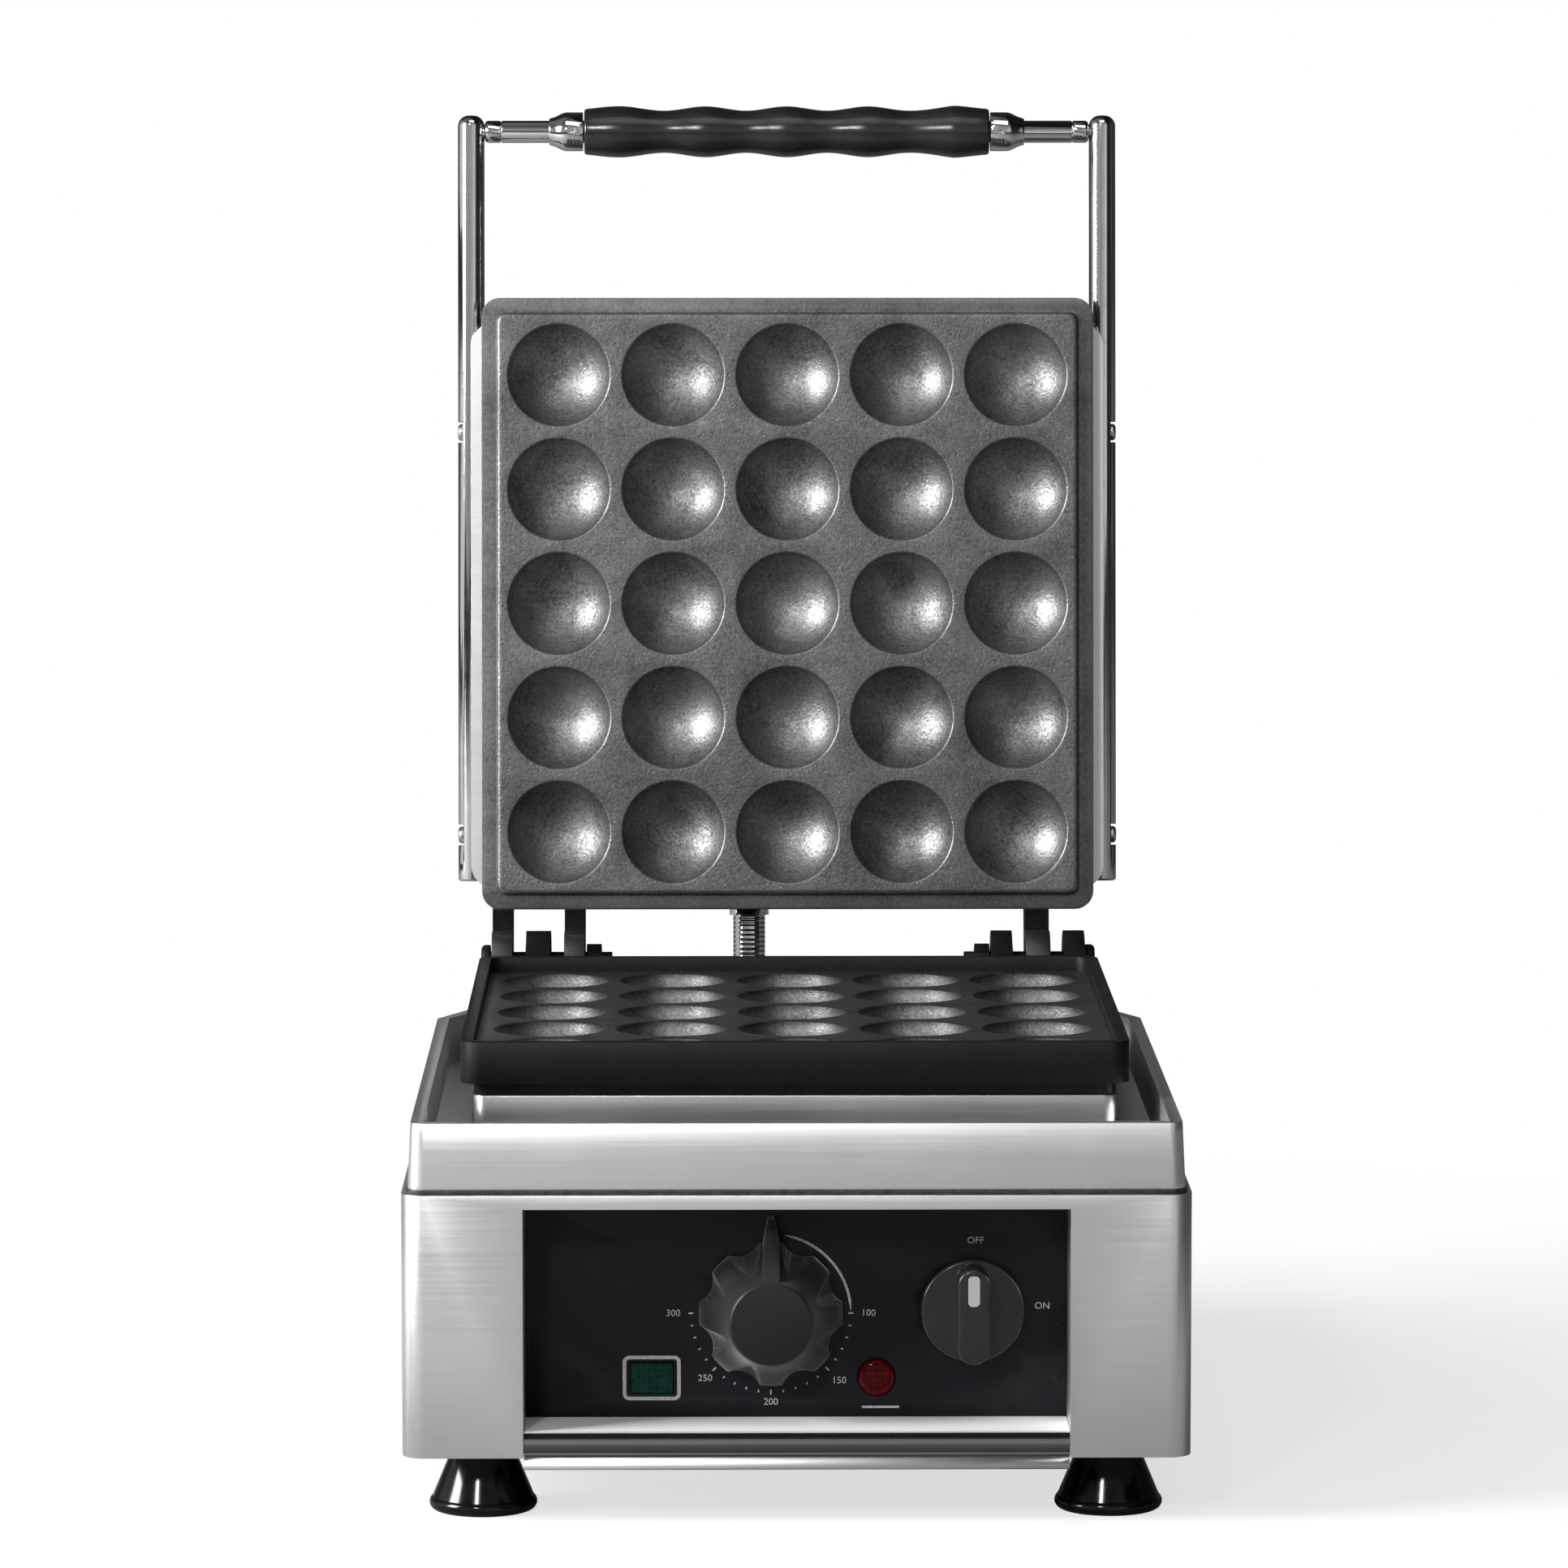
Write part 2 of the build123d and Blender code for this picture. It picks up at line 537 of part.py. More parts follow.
# Upper plate: the matching casting, whose plateau drops inside the lower plate's rim
def upper_plate():
    middle = (0, -PLATE_MID)
    body = slab(PLATE_WIDTH, PLATE_LENGTH, UPPER_WALL, PLATE_CORNER_R, (*middle, FLANGE_H))
    step = 2 * (RIM_WIDTH + PLATEAU_GAP)
    body += slab(PLATE_WIDTH - step, PLATE_LENGTH - step, PLATEAU_HEIGHT, PLATE_CORNER_R - 4,
                 (*middle, UPPER_FACE_H))
    body += slab(PAD_WIDTH, PAD_LENGTH, UPPER_PAD_H - UPPER_WALL_H, 5, (*middle, UPPER_WALL_H))
    body += fork(-HINGE_X, FLANGE_H, UPPER_WALL_H)
    body += tongue(HINGE_X, FLANGE_H, UPPER_WALL_H)
    for spot in cup_places():
        body -= spot * Pos(0, 0, UPPER_FACE_H + CUP_DEPTH - CUP_SPHERE_R) * Sphere(CUP_SPHERE_R)
    for side in (-1, 1):
        body -= Pos(side * HINGE_X, 0, 0) * Rot(0, 90, 0) * Cylinder(PIN_R + RUNNING_GAP, 4 * LUG_R)
    return on_lid(body)


# Hinge bolts: head on the outside, nut and tail on the inside
def hinge_bolt(side):
    center = side * HINGE_X
    outside = center + side * (FORK_OUTER + MOVING_GAP)
    inside = center - side * (FORK_OUTER + MOVING_GAP)
    length = abs(outside - inside) + NUT_THICK + PIN_TAIL
    middle = (outside + inside) / 2 - side * (NUT_THICK + PIN_TAIL) / 2
    bolt = Pos(middle, 0, 0) * Rot(0, 90, 0) * Cylinder(PIN_R, length)
    head = Cylinder(PIN_HEAD_R, PIN_HEAD_THICK)
    head = fillet(head.edges().sort_by(Axis.Z)[-1], PIN_HEAD_THICK * 0.5)
    bolt += Pos(outside + side * PIN_HEAD_THICK / 2, 0, 0) * Rot(0, side * 90, 0) * head
    return on_axis(bolt)


def hinge_nut(side):
    inside = side * HINGE_X - side * (FORK_OUTER + MOVING_GAP)
    hexagon = RegularPolygon(NUT_FLATS / 2, 6, major_radius=False) - Circle(PIN_R)
    nut = extrude(hexagon, NUT_THICK / 2, both=True)
    return on_axis(Pos(inside - side * NUT_THICK / 2, 0, 0) * Rot(0, 90, 0) * nut)


# Heating element: a bent tube that runs back and forth behind the cups, both ends turned away
def element():
    half = ELEMENT_LENGTH / 2
    first = -ELEMENT_PITCH * (ELEMENT_RUNS - 1) / 2
    points = [(first, half, -ELEMENT_LEG), (first, half, 0)]
    for run in range(ELEMENT_RUNS):
        x = first + run * ELEMENT_PITCH
        near, far = (half, -half) if run % 2 == 0 else (-half, half)
        if run > 0:
            points.append((x, near, 0))
        points.append((x, far, 0))
    points.append((-first, half, -ELEMENT_LEG))
    bend = ELEMENT_PITCH * 0.4
    radii = [ELEMENT_R * 2.5] + [bend] * (2 * (ELEMENT_RUNS - 1)) + [ELEMENT_R * 2.5]
    path = FilletPolyline(*points, radius=radii)
    section = Plane(origin=path @ 0, z_dir=path % 0) * Circle(ELEMENT_R)
    return sweep(section, path=path)


def lower_element():
    center_h = LOWER_PAD_H - ELEMENT_R - SEAT_GAP
    return on_axis(Pos(0, -PLATE_MID, center_h) * element())


def upper_element():
    center_h = UPPER_PAD_H + ELEMENT_R + SEAT_GAP
    return on_lid(Pos(0, -PLATE_MID, center_h) * Rot(0, 180, 0) * element_short())


def element_short():
    """The lid's element: the same bends, with ends short enough for the cover."""
    leg = COVER_BACK_H - UPPER_PAD_H - 2 * ELEMENT_R - 4
    half = ELEMENT_LENGTH / 2
    first = -ELEMENT_PITCH * (ELEMENT_RUNS - 1) / 2
    tube = element()
    low = Pos(0, 0, -leg - ELEMENT_LEG) * Box(4 * abs(first), 4 * half, 2 * ELEMENT_LEG)
    return tube - low


def board(thick, margin=0.0):
    """A plate under an element with holes for the element's ends and the four studs."""
    width = PAD_WIDTH - 2 * margin
    length = PAD_LENGTH - 2 * margin
    plate = extrude(Rectangle(width, length), thick)
    first = ELEMENT_PITCH * (ELEMENT_RUNS - 1) / 2
    for x in (-first, first):
        slot = Box(2 * ELEMENT_R + 3, 4 * ELEMENT_R + 5, 4 * thick)
        plate -= Pos(x, ELEMENT_LENGTH / 2 - ELEMENT_R, 0) * slot
    for x in (-STUD_X, STUD_X):
        for y in (-STUD_Y, STUD_Y):
            plate -= Pos(x, y, 0) * Cylinder(STUD_R + SEAT_GAP, 4 * thick)
    return plate


def lower_clamp():
    top = LOWER_PAD_H - 2 * ELEMENT_R - 2 * SEAT_GAP
    return on_axis(Pos(0, -PLATE_MID, top - CLAMP_THICK) * board(CLAMP_THICK))


def lower_insulation():
    top = LOWER_PAD_H - 2 * ELEMENT_R - 2 * SEAT_GAP - CLAMP_THICK - SEAT_GAP
    return on_axis(Pos(0, -PLATE_MID, top - INSULATION_THICK) * board(INSULATION_THICK, BOARD_MARGIN))


def upper_clamp():
    low = UPPER_PAD_H + 2 * ELEMENT_R + 2 * SEAT_GAP
    return on_lid(Pos(0, -PLATE_MID, low) * board(CLAMP_THICK))


def upper_insulation():
    low = UPPER_PAD_H + 2 * ELEMENT_R + 2 * SEAT_GAP + CLAMP_THICK + SEAT_GAP
    return on_lid(Pos(0, -PLATE_MID, low) * board(INSULATION_THICK, BOARD_MARGIN))


# Studs that tie the lower plate, clamp, boards and deck together, with their nuts
def lower_studs():
    top = AXIS_Z + LOWER_PAD_H
    nut_top = TRAY_FLOOR - SHEET
    bottom = nut_top - STUD_NUT_THICK - 2
    stud = Pos(0, 0, (top + bottom) / 2) * Cylinder(STUD_R, top - bottom)
    stud += Pos(0, 0, nut_top - STUD_NUT_THICK) * extrude(
        RegularPolygon(STUD_NUT_R, 6), STUD_NUT_THICK)
    return Compound([Pos(x, y, 0) * stud for x, y in stud_places()])


# Lid cover: stainless pan behind the upper plate, with a lip round its mouth
def lid_cover():
    middle_y = -(COVER_START + COVER_LENGTH / 2)
    pan = slab(COVER_WIDTH, COVER_LENGTH, COVER_DEPTH, COVER_CORNER_R, (0, middle_y, UPPER_WALL_H))
    pan = fillet(pan.faces().sort_by(Axis.Z)[-1].edges(), COVER_EDGE_R)
    lip_width = COVER_WIDTH + 2 * COVER_LIP
    pan += slab(lip_width, COVER_LENGTH, SHEET, COVER_CORNER_R, (0, middle_y, UPPER_WALL_H))
    room = slab(COVER_WIDTH - 2 * SHEET, COVER_LENGTH - 2 * SHEET, COVER_DEPTH - 2 * SHEET,
                COVER_CORNER_R - SHEET, (0, middle_y, UPPER_WALL_H + SHEET))
    pan -= fillet(room.faces().sort_by(Axis.Z)[-1].edges(), COVER_EDGE_R - SHEET)
    pan -= slab(PAD_WIDTH + 2, PAD_LENGTH + 2, 4 * SHEET, 5, (0, -PLATE_MID, UPPER_WALL_H - SHEET))
    for spot in ROD_SCREWS:
        pan -= Pos(0, -spot, ROD_H) * Rot(0, 90, 0) * Cylinder(ROD_SCREW_R + SEAT_GAP, 2 * COVER_WIDTH)
    pan -= Pos(CONDUIT_X, -COVER_START, GLAND_H) * Rot(90, 0, 0) * Cylinder(
        CONDUIT_R, 8)
    for x, y in cover_screw_places():
        pan -= Pos(x, y, COVER_BACK_H) * Cylinder(COVER_SCREW_R + SEAT_GAP, 12)
    return on_lid(pan)


def cover_screw_places():
    return [(x, -PLATE_MID + y) for x in (-STUD_X, STUD_X) for y in (-STUD_Y, STUD_Y)]


def cover_screws():
    shank = COVER_BACK_H - UPPER_PAD_H
    screw = pan_head(COVER_SCREW_HEAD_R, COVER_SCREW_HEAD, COVER_SCREW_R, shank)
    return on_lid(Compound([Pos(x, y, COVER_BACK_H) * screw for x, y in cover_screw_places()]))


# Side rods: round bars with a domed top, notched where their screws sit
def side_rod(side):
    length = ROD_LENGTH
    rod = Pos(0, 0, length / 2) * Cylinder(ROD_R, length)
    rod = fillet(rod.edges().sort_by(Axis.Z)[-1], ROD_R * 0.8)
    rod = chamfer(rod.edges().sort_by(Axis.Z)[0], 0.8)
    for spot in ROD_SCREWS:
        z = spot - ROD_START
        rod -= Pos(side * (2 * ROD_R - ROD_NOTCH_DEPTH), 0, z) * Box(2 * ROD_R, 3 * ROD_R, ROD_NOTCH)
        rod -= Pos(0, 0, z) * Rot(0, 90, 0) * Cylinder(ROD_SCREW_R + SEAT_GAP, 4 * ROD_R)
    socket_depth = BAR_SPIGOT + SEAT_GAP
    socket = Pos(-side * (ROD_R - socket_depth / 2), 0, BAR_POSITION - ROD_START) * Rot(0, 90, 0)
    rod -= socket * Cylinder(BAR_SPIGOT_R + SEAT_GAP / 2, socket_depth)
    return on_lid(Pos(side * ROD_X, -ROD_START, ROD_H) * Rot(90, 0, 0) * rod)


def rod_screws():
    heads = []
    shank = 2 * ROD_R - ROD_NOTCH_DEPTH + SEAT_GAP + SHEET
    screw = pan_head(ROD_SCREW_HEAD_R, ROD_NOTCH_DEPTH, ROD_SCREW_R, shank)
    for side in (-1, 1):
        for spot in ROD_SCREWS:
            x = side * (ROD_X + ROD_R - ROD_NOTCH_DEPTH)
            heads.append(Pos(x, -spot, ROD_H) * Rot(0, side * 90, 0) * screw)
    return on_lid(Compound(heads))


# Handle bar with turned-down ends that plug into the side rods
def handle_bar():
    half = ROD_X - ROD_R - SEAT_GAP
    bar = Rot(0, 90, 0) * Cylinder(BAR_R, 2 * half)
    bar = fillet(bar.edges().filter_by(GeomType.CIRCLE), 1.6)
    for side in (-1, 1):
        bar += Pos(side * (half + BAR_SPIGOT / 2 - 0.1), 0, 0) * Rot(0, 90, 0) * Cylinder(
            BAR_SPIGOT_R, BAR_SPIGOT)
        groove = Rot(0, 90, 0) * ring(BAR_R + 1, BAR_R - 0.4, 0.8)
        bar -= Pos(side * (half - BAR_GROOVE), 0, 0) * groove
    return on_lid(Pos(0, -BAR_POSITION, ROD_H) * bar)


# Grip: turned handle with five finger swells, free to spin on the bar
def handle_grip():
    pitch = GRIP_LENGTH / GRIP_BULGES
    half = GRIP_LENGTH / 2
    points = [(-half, GRIP_END_R)]
    for n in range(GRIP_BULGES):
        start = -half + n * pitch
        points.append((start + pitch / 2, GRIP_BULGE_R))
        if n < GRIP_BULGES - 1:
            points.append((start + pitch, GRIP_WAIST_R))
    points.append((half, GRIP_END_R))
    wave = Spline(*points, tangents=((1, 0.1), (1, -0.1)))
    bore = BAR_R + RUNNING_GAP
    inside = Polyline((half, GRIP_END_R), (half, bore), (-half, bore), (-half, GRIP_END_R))
    outline = make_face([wave, inside])
    grip = revolve(outline, Axis.X)
    for end in (0, -1):
        rims = grip.edges().filter_by(GeomType.CIRCLE).group_by(Axis.X)[end]
        grip = fillet(rims.sort_by(SortBy.RADIUS)[-1], GRIP_EDGE_R)
    return on_lid(Pos(0, -BAR_POSITION, ROD_H) * grip)


def ferrule_start():
    return GRIP_LENGTH / 2 + MOVING_GAP


# Ferrules: domed collars that keep the grip on the bar, each held by a set screw
def ferrule(side):
    start = ferrule_start()
    end = start + FERRULE_LENGTH
    bore = BAR_R + SEAT_GAP / 4
    shoulder = start + FERRULE_LENGTH * 0.45
    dome = Spline((shoulder, FERRULE_R), (end - 3, BAR_R + 1.9), (end, BAR_R + 0.9),
                  tangents=((1, 0), (1, -0.3)))
    edges = [Polyline((start, bore), (start, FERRULE_R), (shoulder, FERRULE_R)), dome,
             Line((end, BAR_R + 0.9), (end, bore)), Line((end, bore), (start, bore))]
    body = revolve(make_face(edges), Axis.X)
    body -= Pos(start + FERRULE_LENGTH * 0.3, 0, -FERRULE_R) * Cylinder(SET_SCREW_R + 0.1, 2 * FERRULE_R)
    if side < 0:
        body = Rot(0, 0, 180) * body
    return on_lid(Pos(0, -BAR_POSITION, ROD_H) * body)


def set_screws():
    length = FERRULE_R - BAR_R - 1.2
    screws = []
    for side in (-1, 1):
        x = side * (ferrule_start() + FERRULE_LENGTH * 0.3)
        screw = Pos(0, 0, -BAR_R - SEAT_GAP / 4 - length / 2) * Cylinder(SET_SCREW_R, length)
        screw -= Pos(0, 0, -BAR_R - length) * extrude(RegularPolygon(0.9, 6), 2, both=True)
        screws.append(Pos(x, -BAR_POSITION, ROD_H) * screw)
    return on_lid(Compound(screws))


# Thermostat knob: fluted cone with a flat cap and a long pointer
def thermostat_knob():
    back = KNOB_STANDOFF
    profile = make_face([
        Line((0, back), (KNOB_BASE_R, back)),
        Line((KNOB_BASE_R, back), (KNOB_BASE_R, back + 3)),
        Spline((KNOB_BASE_R, back + 3), (KNOB_CAP_R + 5.5, KNOB_LENGTH * 0.55),
               (KNOB_CAP_R, KNOB_LENGTH - 0.8), tangents=((-0.2, 1), (-0.35, 1))),
        Line((KNOB_CAP_R, KNOB_LENGTH - 0.8), (KNOB_CAP_R - 0.8, KNOB_LENGTH)),
        Line((KNOB_CAP_R - 0.8, KNOB_LENGTH), (0, KNOB_LENGTH)),
        Line((0, KNOB_LENGTH), (0, back)),
    ])
    knob = revolve(Plane.XZ * profile, Axis.Z)
    reach = KNOB_BASE_R + KNOB_FLUTE_R - KNOB_FLUTE_DEPTH
    tip_reach = KNOB_CAP_R + KNOB_FLUTE_TIP_R + 0.2
    lean = math.degrees(math.atan((reach - tip_reach) / KNOB_LENGTH))
    slant = math.hypot(reach - tip_reach, KNOB_LENGTH)
    cone = Pos(0, 0, slant / 2) * Cone(KNOB_FLUTE_R, KNOB_FLUTE_TIP_R, slant)
    cone += Pos(0, 0, -2) * Cylinder(KNOB_FLUTE_R, 4)
    flute = Pos(reach, 0, 0) * Rot(0, -lean, 0) * cone
    for n in range(KNOB_LOBES):
        knob -= Rot(0, 0, (n + 0.5) * 360 / KNOB_LOBES) * flute
    half = KNOB_POINTER_WIDTH / 2
    tip = 1.2
    point = (tip, KNOB_POINTER_REACH)
    pointer_plan = make_face(Polyline((-half, 0), (half, 0), (half, KNOB_BASE_R), point,
                                      (-tip, KNOB_POINTER_REACH), (-half, KNOB_BASE_R), close=True))
    pointer = Pos(0, 0, back) * extrude(pointer_plan, KNOB_LENGTH - back)
    slope = make_face(Polyline((KNOB_CAP_R - 1, KNOB_LENGTH + 1), (KNOB_CAP_R - 1, KNOB_LENGTH - 0.8),
                               (KNOB_POINTER_REACH, KNOB_LENGTH * 0.34),
                               (KNOB_POINTER_REACH + 9, KNOB_LENGTH * 0.3),
                               (KNOB_POINTER_REACH + 9, KNOB_LENGTH + 1), close=True))
    cutter = Pos(-20, 0, 0) * extrude(Plane.YZ * slope, 40)
    knob += pointer - cutter
    knob -= Pos(0, 0, 7) * Cylinder(SPINDLE_R + SEAT_GAP / 2, 18)
    return Pos(DIAL_X, PANEL_FRONT, DIAL_Z) * facing_front(knob)


# Switch knob: round disc with a straight grip across it
def switch_knob():
    back = KNOB_STANDOFF
    disc = Pos(0, 0, back + SWITCH_DISC_THICK / 2) * Cylinder(SWITCH_DISC_R, SWITCH_DISC_THICK)
    disc = fillet(disc.edges().sort_by(Axis.Z)[-1], 1.2)
    bar = SlotOverall(SWITCH_GRIP_LENGTH, SWITCH_GRIP_WIDTH, rotation=90)
    grip = Pos(0, 0, back) * extrude(bar, SWITCH_GRIP_HEIGHT)
    grip = fillet(grip.faces().sort_by(Axis.Z)[-1].edges(), 1.2)
    knob = disc + grip
    top = back + SWITCH_GRIP_HEIGHT
    pocket = Box(MARKER_WIDTH, MARKER_LENGTH, MARKER_THICK * 1.001)
    knob -= marker_place(top) * Pos(0, 0, -MARKER_THICK / 2) * pocket
    knob -= Pos(0, 0, 6) * Cylinder(SPINDLE_R + SEAT_GAP / 2, 14)
    return Pos(SWITCH_X, PANEL_FRONT, SWITCH_Z) * facing_front(knob)


def marker_place(top):
    return Pos(0, SWITCH_GRIP_LENGTH / 2 - MARKER_LENGTH / 2 - 2.5, top)


def switch_marker():
    top = KNOB_STANDOFF + SWITCH_GRIP_HEIGHT
    inset = 2 * 0.05
    tablet = marker_place(top) * Pos(0, 0, -MARKER_THICK) * extrude(
        RectangleRounded(MARKER_WIDTH - inset, MARKER_LENGTH - inset, 1.6), MARKER_THICK)
    return Pos(SWITCH_X, PANEL_FRONT, SWITCH_Z) * facing_front(tablet)


def spindle(reach):
    return Pos(0, 0, (reach - SPINDLE_BACK) / 2) * Cylinder(SPINDLE_R, reach + SPINDLE_BACK)


def thermostat_spindle():
    return Pos(DIAL_X, PANEL_FRONT, DIAL_Z) * facing_front(spindle(THERMOSTAT_REACH))


def switch_spindle():
    return Pos(SWITCH_X, PANEL_FRONT, SWITCH_Z) * facing_front(spindle(SWITCH_REACH))


def tab():
    """A flat push-on terminal that stands back from a body whose rear face is at z = 0."""
    return Pos(0, 0, -TAB_LENGTH / 2) * Box(TAB_THICK, TAB_WIDTH, TAB_LENGTH)


# Thermostat body behind the panel: round can, square base and terminals
def thermostat_body():
    bore = SPINDLE_R + RUNNING_GAP
    can = Pos(0, 0, -PANEL_THICK - CAN_DEPTH / 2) * Cylinder(CAN_R, CAN_DEPTH)
    block_back = PANEL_THICK + CAN_DEPTH + THERMOSTAT_DEPTH
    can += Pos(0, 0, THERMOSTAT_DEPTH / 2 - block_back) * Box(
        THERMOSTAT_WIDTH, THERMOSTAT_HEIGHT, THERMOSTAT_DEPTH)
    for side in (-1, 1):
        can += Pos(side * THERMOSTAT_WIDTH / 4, 0, -block_back) * tab()
    can -= Pos(0, 0, -PANEL_THICK) * Cylinder(bore, 2 * SPINDLE_BACK)
    return Pos(DIAL_X, PANEL_FRONT, DIAL_Z) * facing_front(can)


def switch_body():
    bore = SPINDLE_R + RUNNING_GAP
    block = Pos(0, 0, -PANEL_THICK - COLLAR_DEPTH / 2) * Cylinder(COLLAR_R, COLLAR_DEPTH)
    block_back = PANEL_THICK + COLLAR_DEPTH + SWITCH_BODY_DEPTH
    block += Pos(0, 0, SWITCH_BODY_DEPTH / 2 - block_back) * Box(
        SWITCH_BODY_SIDE, SWITCH_BODY_SIDE, SWITCH_BODY_DEPTH)
    block -= Pos(0, 0, -PANEL_THICK) * Cylinder(bore, 2 * SPINDLE_BACK)
    for side in (-1, 1):
        block += Pos(side * SWITCH_BODY_SIDE * 0.3, 0, -block_back) * tab()
    return Pos(SWITCH_X, PANEL_FRONT, SWITCH_Z) * facing_front(block)


# Pilot lamps: lens in front, square or round holder through the panel
def green_lamp():
    width, height = GREEN_LENS
    gap = 2 * SEAT_GAP
    lens = Pos(0, 0, LAMP_PROUD / 2 - 1) * Box(width - gap, height - gap, LAMP_PROUD + 2)
    lens = fillet(lens.faces().sort_by(Axis.Z)[-1].edges(), 1.0)
    return Pos(GREEN_LAMP_X, PANEL_FRONT, LAMP_Z) * facing_front(lens)


def green_lamp_holder():
    width, height = GREEN_LENS
    block = Pos(0, 0, -PANEL_THICK - LAMP_BODY_LENGTH / 2) * Box(width + 5, height + 5, LAMP_BODY_LENGTH)
    block += Pos(0, 0, -PANEL_THICK - LAMP_BODY_LENGTH) * tab()
    return Pos(GREEN_LAMP_X, PANEL_FRONT, LAMP_Z) * facing_front(block)


def red_lamp():
    radius = RED_LENS_R - SEAT_GAP
    lens = Pos(0, 0, LAMP_PROUD / 2 - 1 + 0.4) * Cylinder(radius, LAMP_PROUD + 2.8)
    lens = fillet(lens.edges().sort_by(Axis.Z)[-1], 2.2)
    return Pos(RED_LAMP_X, PANEL_FRONT, LAMP_Z) * facing_front(lens)


def red_lamp_holder():
    block = Pos(0, 0, -PANEL_THICK - LAMP_BODY_LENGTH / 2) * Cylinder(RED_LENS_R + 2, LAMP_BODY_LENGTH)
    block += Pos(0, 0, -PANEL_THICK - LAMP_BODY_LENGTH) * tab()
    return Pos(RED_LAMP_X, PANEL_FRONT, LAMP_Z) * facing_front(block)


# Feet: turned cones with a wide flat base, each on its own screw
def foot_places():
    return [(-FRONT_FOOT_X, FOOT_INSET), (FRONT_FOOT_X, FOOT_INSET),
            (-REAR_FOOT_X, REAR_FOOT_Y), (REAR_FOOT_X, REAR_FOOT_Y)]


def foot():
    flare_start = (FOOT_BASE_R - FOOT_EDGE_IN, FOOT_EDGE_R + FOOT_EDGE_IN)
    sole_r = FOOT_BASE_R - FOOT_EDGE_R / 2
    edge = ThreePointArc((sole_r, 0), (FOOT_BASE_R, FOOT_EDGE_R * 0.8), flare_start)
    collar = (FOOT_TOP_R, FOOT_HEIGHT - FOOT_COLLAR)
    side = Polyline(flare_start, collar, (FOOT_TOP_R, FOOT_HEIGHT), (0, FOOT_HEIGHT), (0, 0))
    profile = make_face([Line((0, 0), (sole_r, 0)), edge, side])
    body = revolve(Plane.XZ * profile, Axis.Z)
    return body - Pos(0, 0, FOOT_HEIGHT) * Cylinder(FOOT_BORE_R, FOOT_HEIGHT - 2)


def foot_screws():
    length = 10.0
    screw = Pos(0, 0, BODY_BOTTOM + SHEET + 1.25) * Cylinder(FOOT_BORE_R + 2.2, 2.5)
    screw += Pos(0, 0, BODY_BOTTOM + SHEET - length / 2) * Cylinder(FOOT_BORE_R, length)
    return Compound([Pos(x, y, 0) * screw for x, y in foot_places()])


# Terminal block on the base pan
def terminal_block():
    block = Box(BLOCK_WIDTH, BLOCK_DEPTH, BLOCK_HEIGHT)
    pitch = BLOCK_WIDTH / BLOCK_WAYS
    for spot in GridLocations(pitch, 0, BLOCK_WAYS, 1):
        window = Box(pitch * 0.7, BLOCK_DEPTH * 0.55, BLOCK_HEIGHT * 0.45)
        block -= spot * Pos(0, 0, BLOCK_HEIGHT / 2) * window
        block += spot * Pos(0, 0, BLOCK_HEIGHT / 6) * Cylinder(BLOCK_SCREW_R, BLOCK_HEIGHT / 3)
    return Pos(BLOCK_X, BODY_DEPTH - BLOCK_INSET, BODY_BOTTOM + SHEET + BLOCK_HEIGHT / 2) * block


# Mains gland: ribbed nut and nose outside, nut inside, bored for the lead
def mains_gland():
    body = Pos(0, 0, -MAINS_GLAND_TAIL / 2) * Cylinder(MAINS_BORE_R + 2.8, MAINS_GLAND_TAIL)
    body += extrude(RegularPolygon(MAINS_GLAND_R, 6, major_radius=False), 5)
    nose = Pos(0, 0, MAINS_GLAND_LENGTH / 2) * Cylinder(MAINS_GLAND_R - 1.5, MAINS_GLAND_LENGTH)
    body += fillet(nose.edges().sort_by(Axis.Z)[-1], 2.5)
    body += Pos(0, 0, -2 * SHEET - 3) * extrude(RegularPolygon(MAINS_GLAND_R, 6, major_radius=False), 3)
    body -= Cylinder(MAINS_BORE_R, 6 * MAINS_GLAND_LENGTH)
    return Pos(MAINS_GLAND_X, BODY_DEPTH + SHEET, MAINS_GLAND_Z) * Rot(-90, 0, 0) * body


def conduit_start():
    return (CONDUIT_X, BODY_DEPTH + ELBOW_STAND, ELBOW_Z + ELBOW_RISE)


def lid_point(y, h):
    """Where a point of the closed lid, y and h from the axis, lies with the lid open."""
    turn = math.radians(-OPEN_ANGLE)
    ahead = y * math.cos(turn) - h * math.sin(turn)
    above = y * math.sin(turn) + h * math.cos(turn)
    return (AXIS_Y + ahead, AXIS_Z + above)


# Elbow on the rear cover that turns the conduit up
def conduit_elbow():
    x, out_y, top_z = conduit_start()
    start_y = BODY_DEPTH + SHEET
    neck_r = CONDUIT_R - 1.5
    path = FilletPolyline((x, start_y - 6, ELBOW_Z), (x, out_y, ELBOW_Z), (x, out_y, top_z), radius=12)
    section = Plane(origin=path @ 0, z_dir=path % 0) * Circle(neck_r)
    body = sweep(section, path=path)
    body += Pos(x, start_y + 3, ELBOW_Z) * Rot(-90, 0, 0) * extrude(
        RegularPolygon(GLAND_R, 6), 6, both=False)
    body += Pos(x, out_y, top_z - 7) * extrude(RegularPolygon(GLAND_R, 6), 7)
    return body


# Conduit: flexible metal hose from the elbow to the lid's gland
def conduit():
    x, start_y, start_z = conduit_start()
    end_y, end_z = lid_point(-COVER_START + GLAND_LENGTH, GLAND_H)
    below_y, below_z = lid_point(-COVER_START + 2 * GLAND_LENGTH, GLAND_H)
    path = Spline((x, start_y, start_z), (x, end_y, end_z),
                  tangents=((0, 0, 1), (0, end_y - below_y, end_z - below_z)))
    start = Plane(origin=path @ 0, z_dir=path % 0)
    outside = sweep(start * Circle(CONDUIT_R), path=path)
    return outside - sweep(start * Circle(CONDUIT_R - CONDUIT_WALL), path=path)


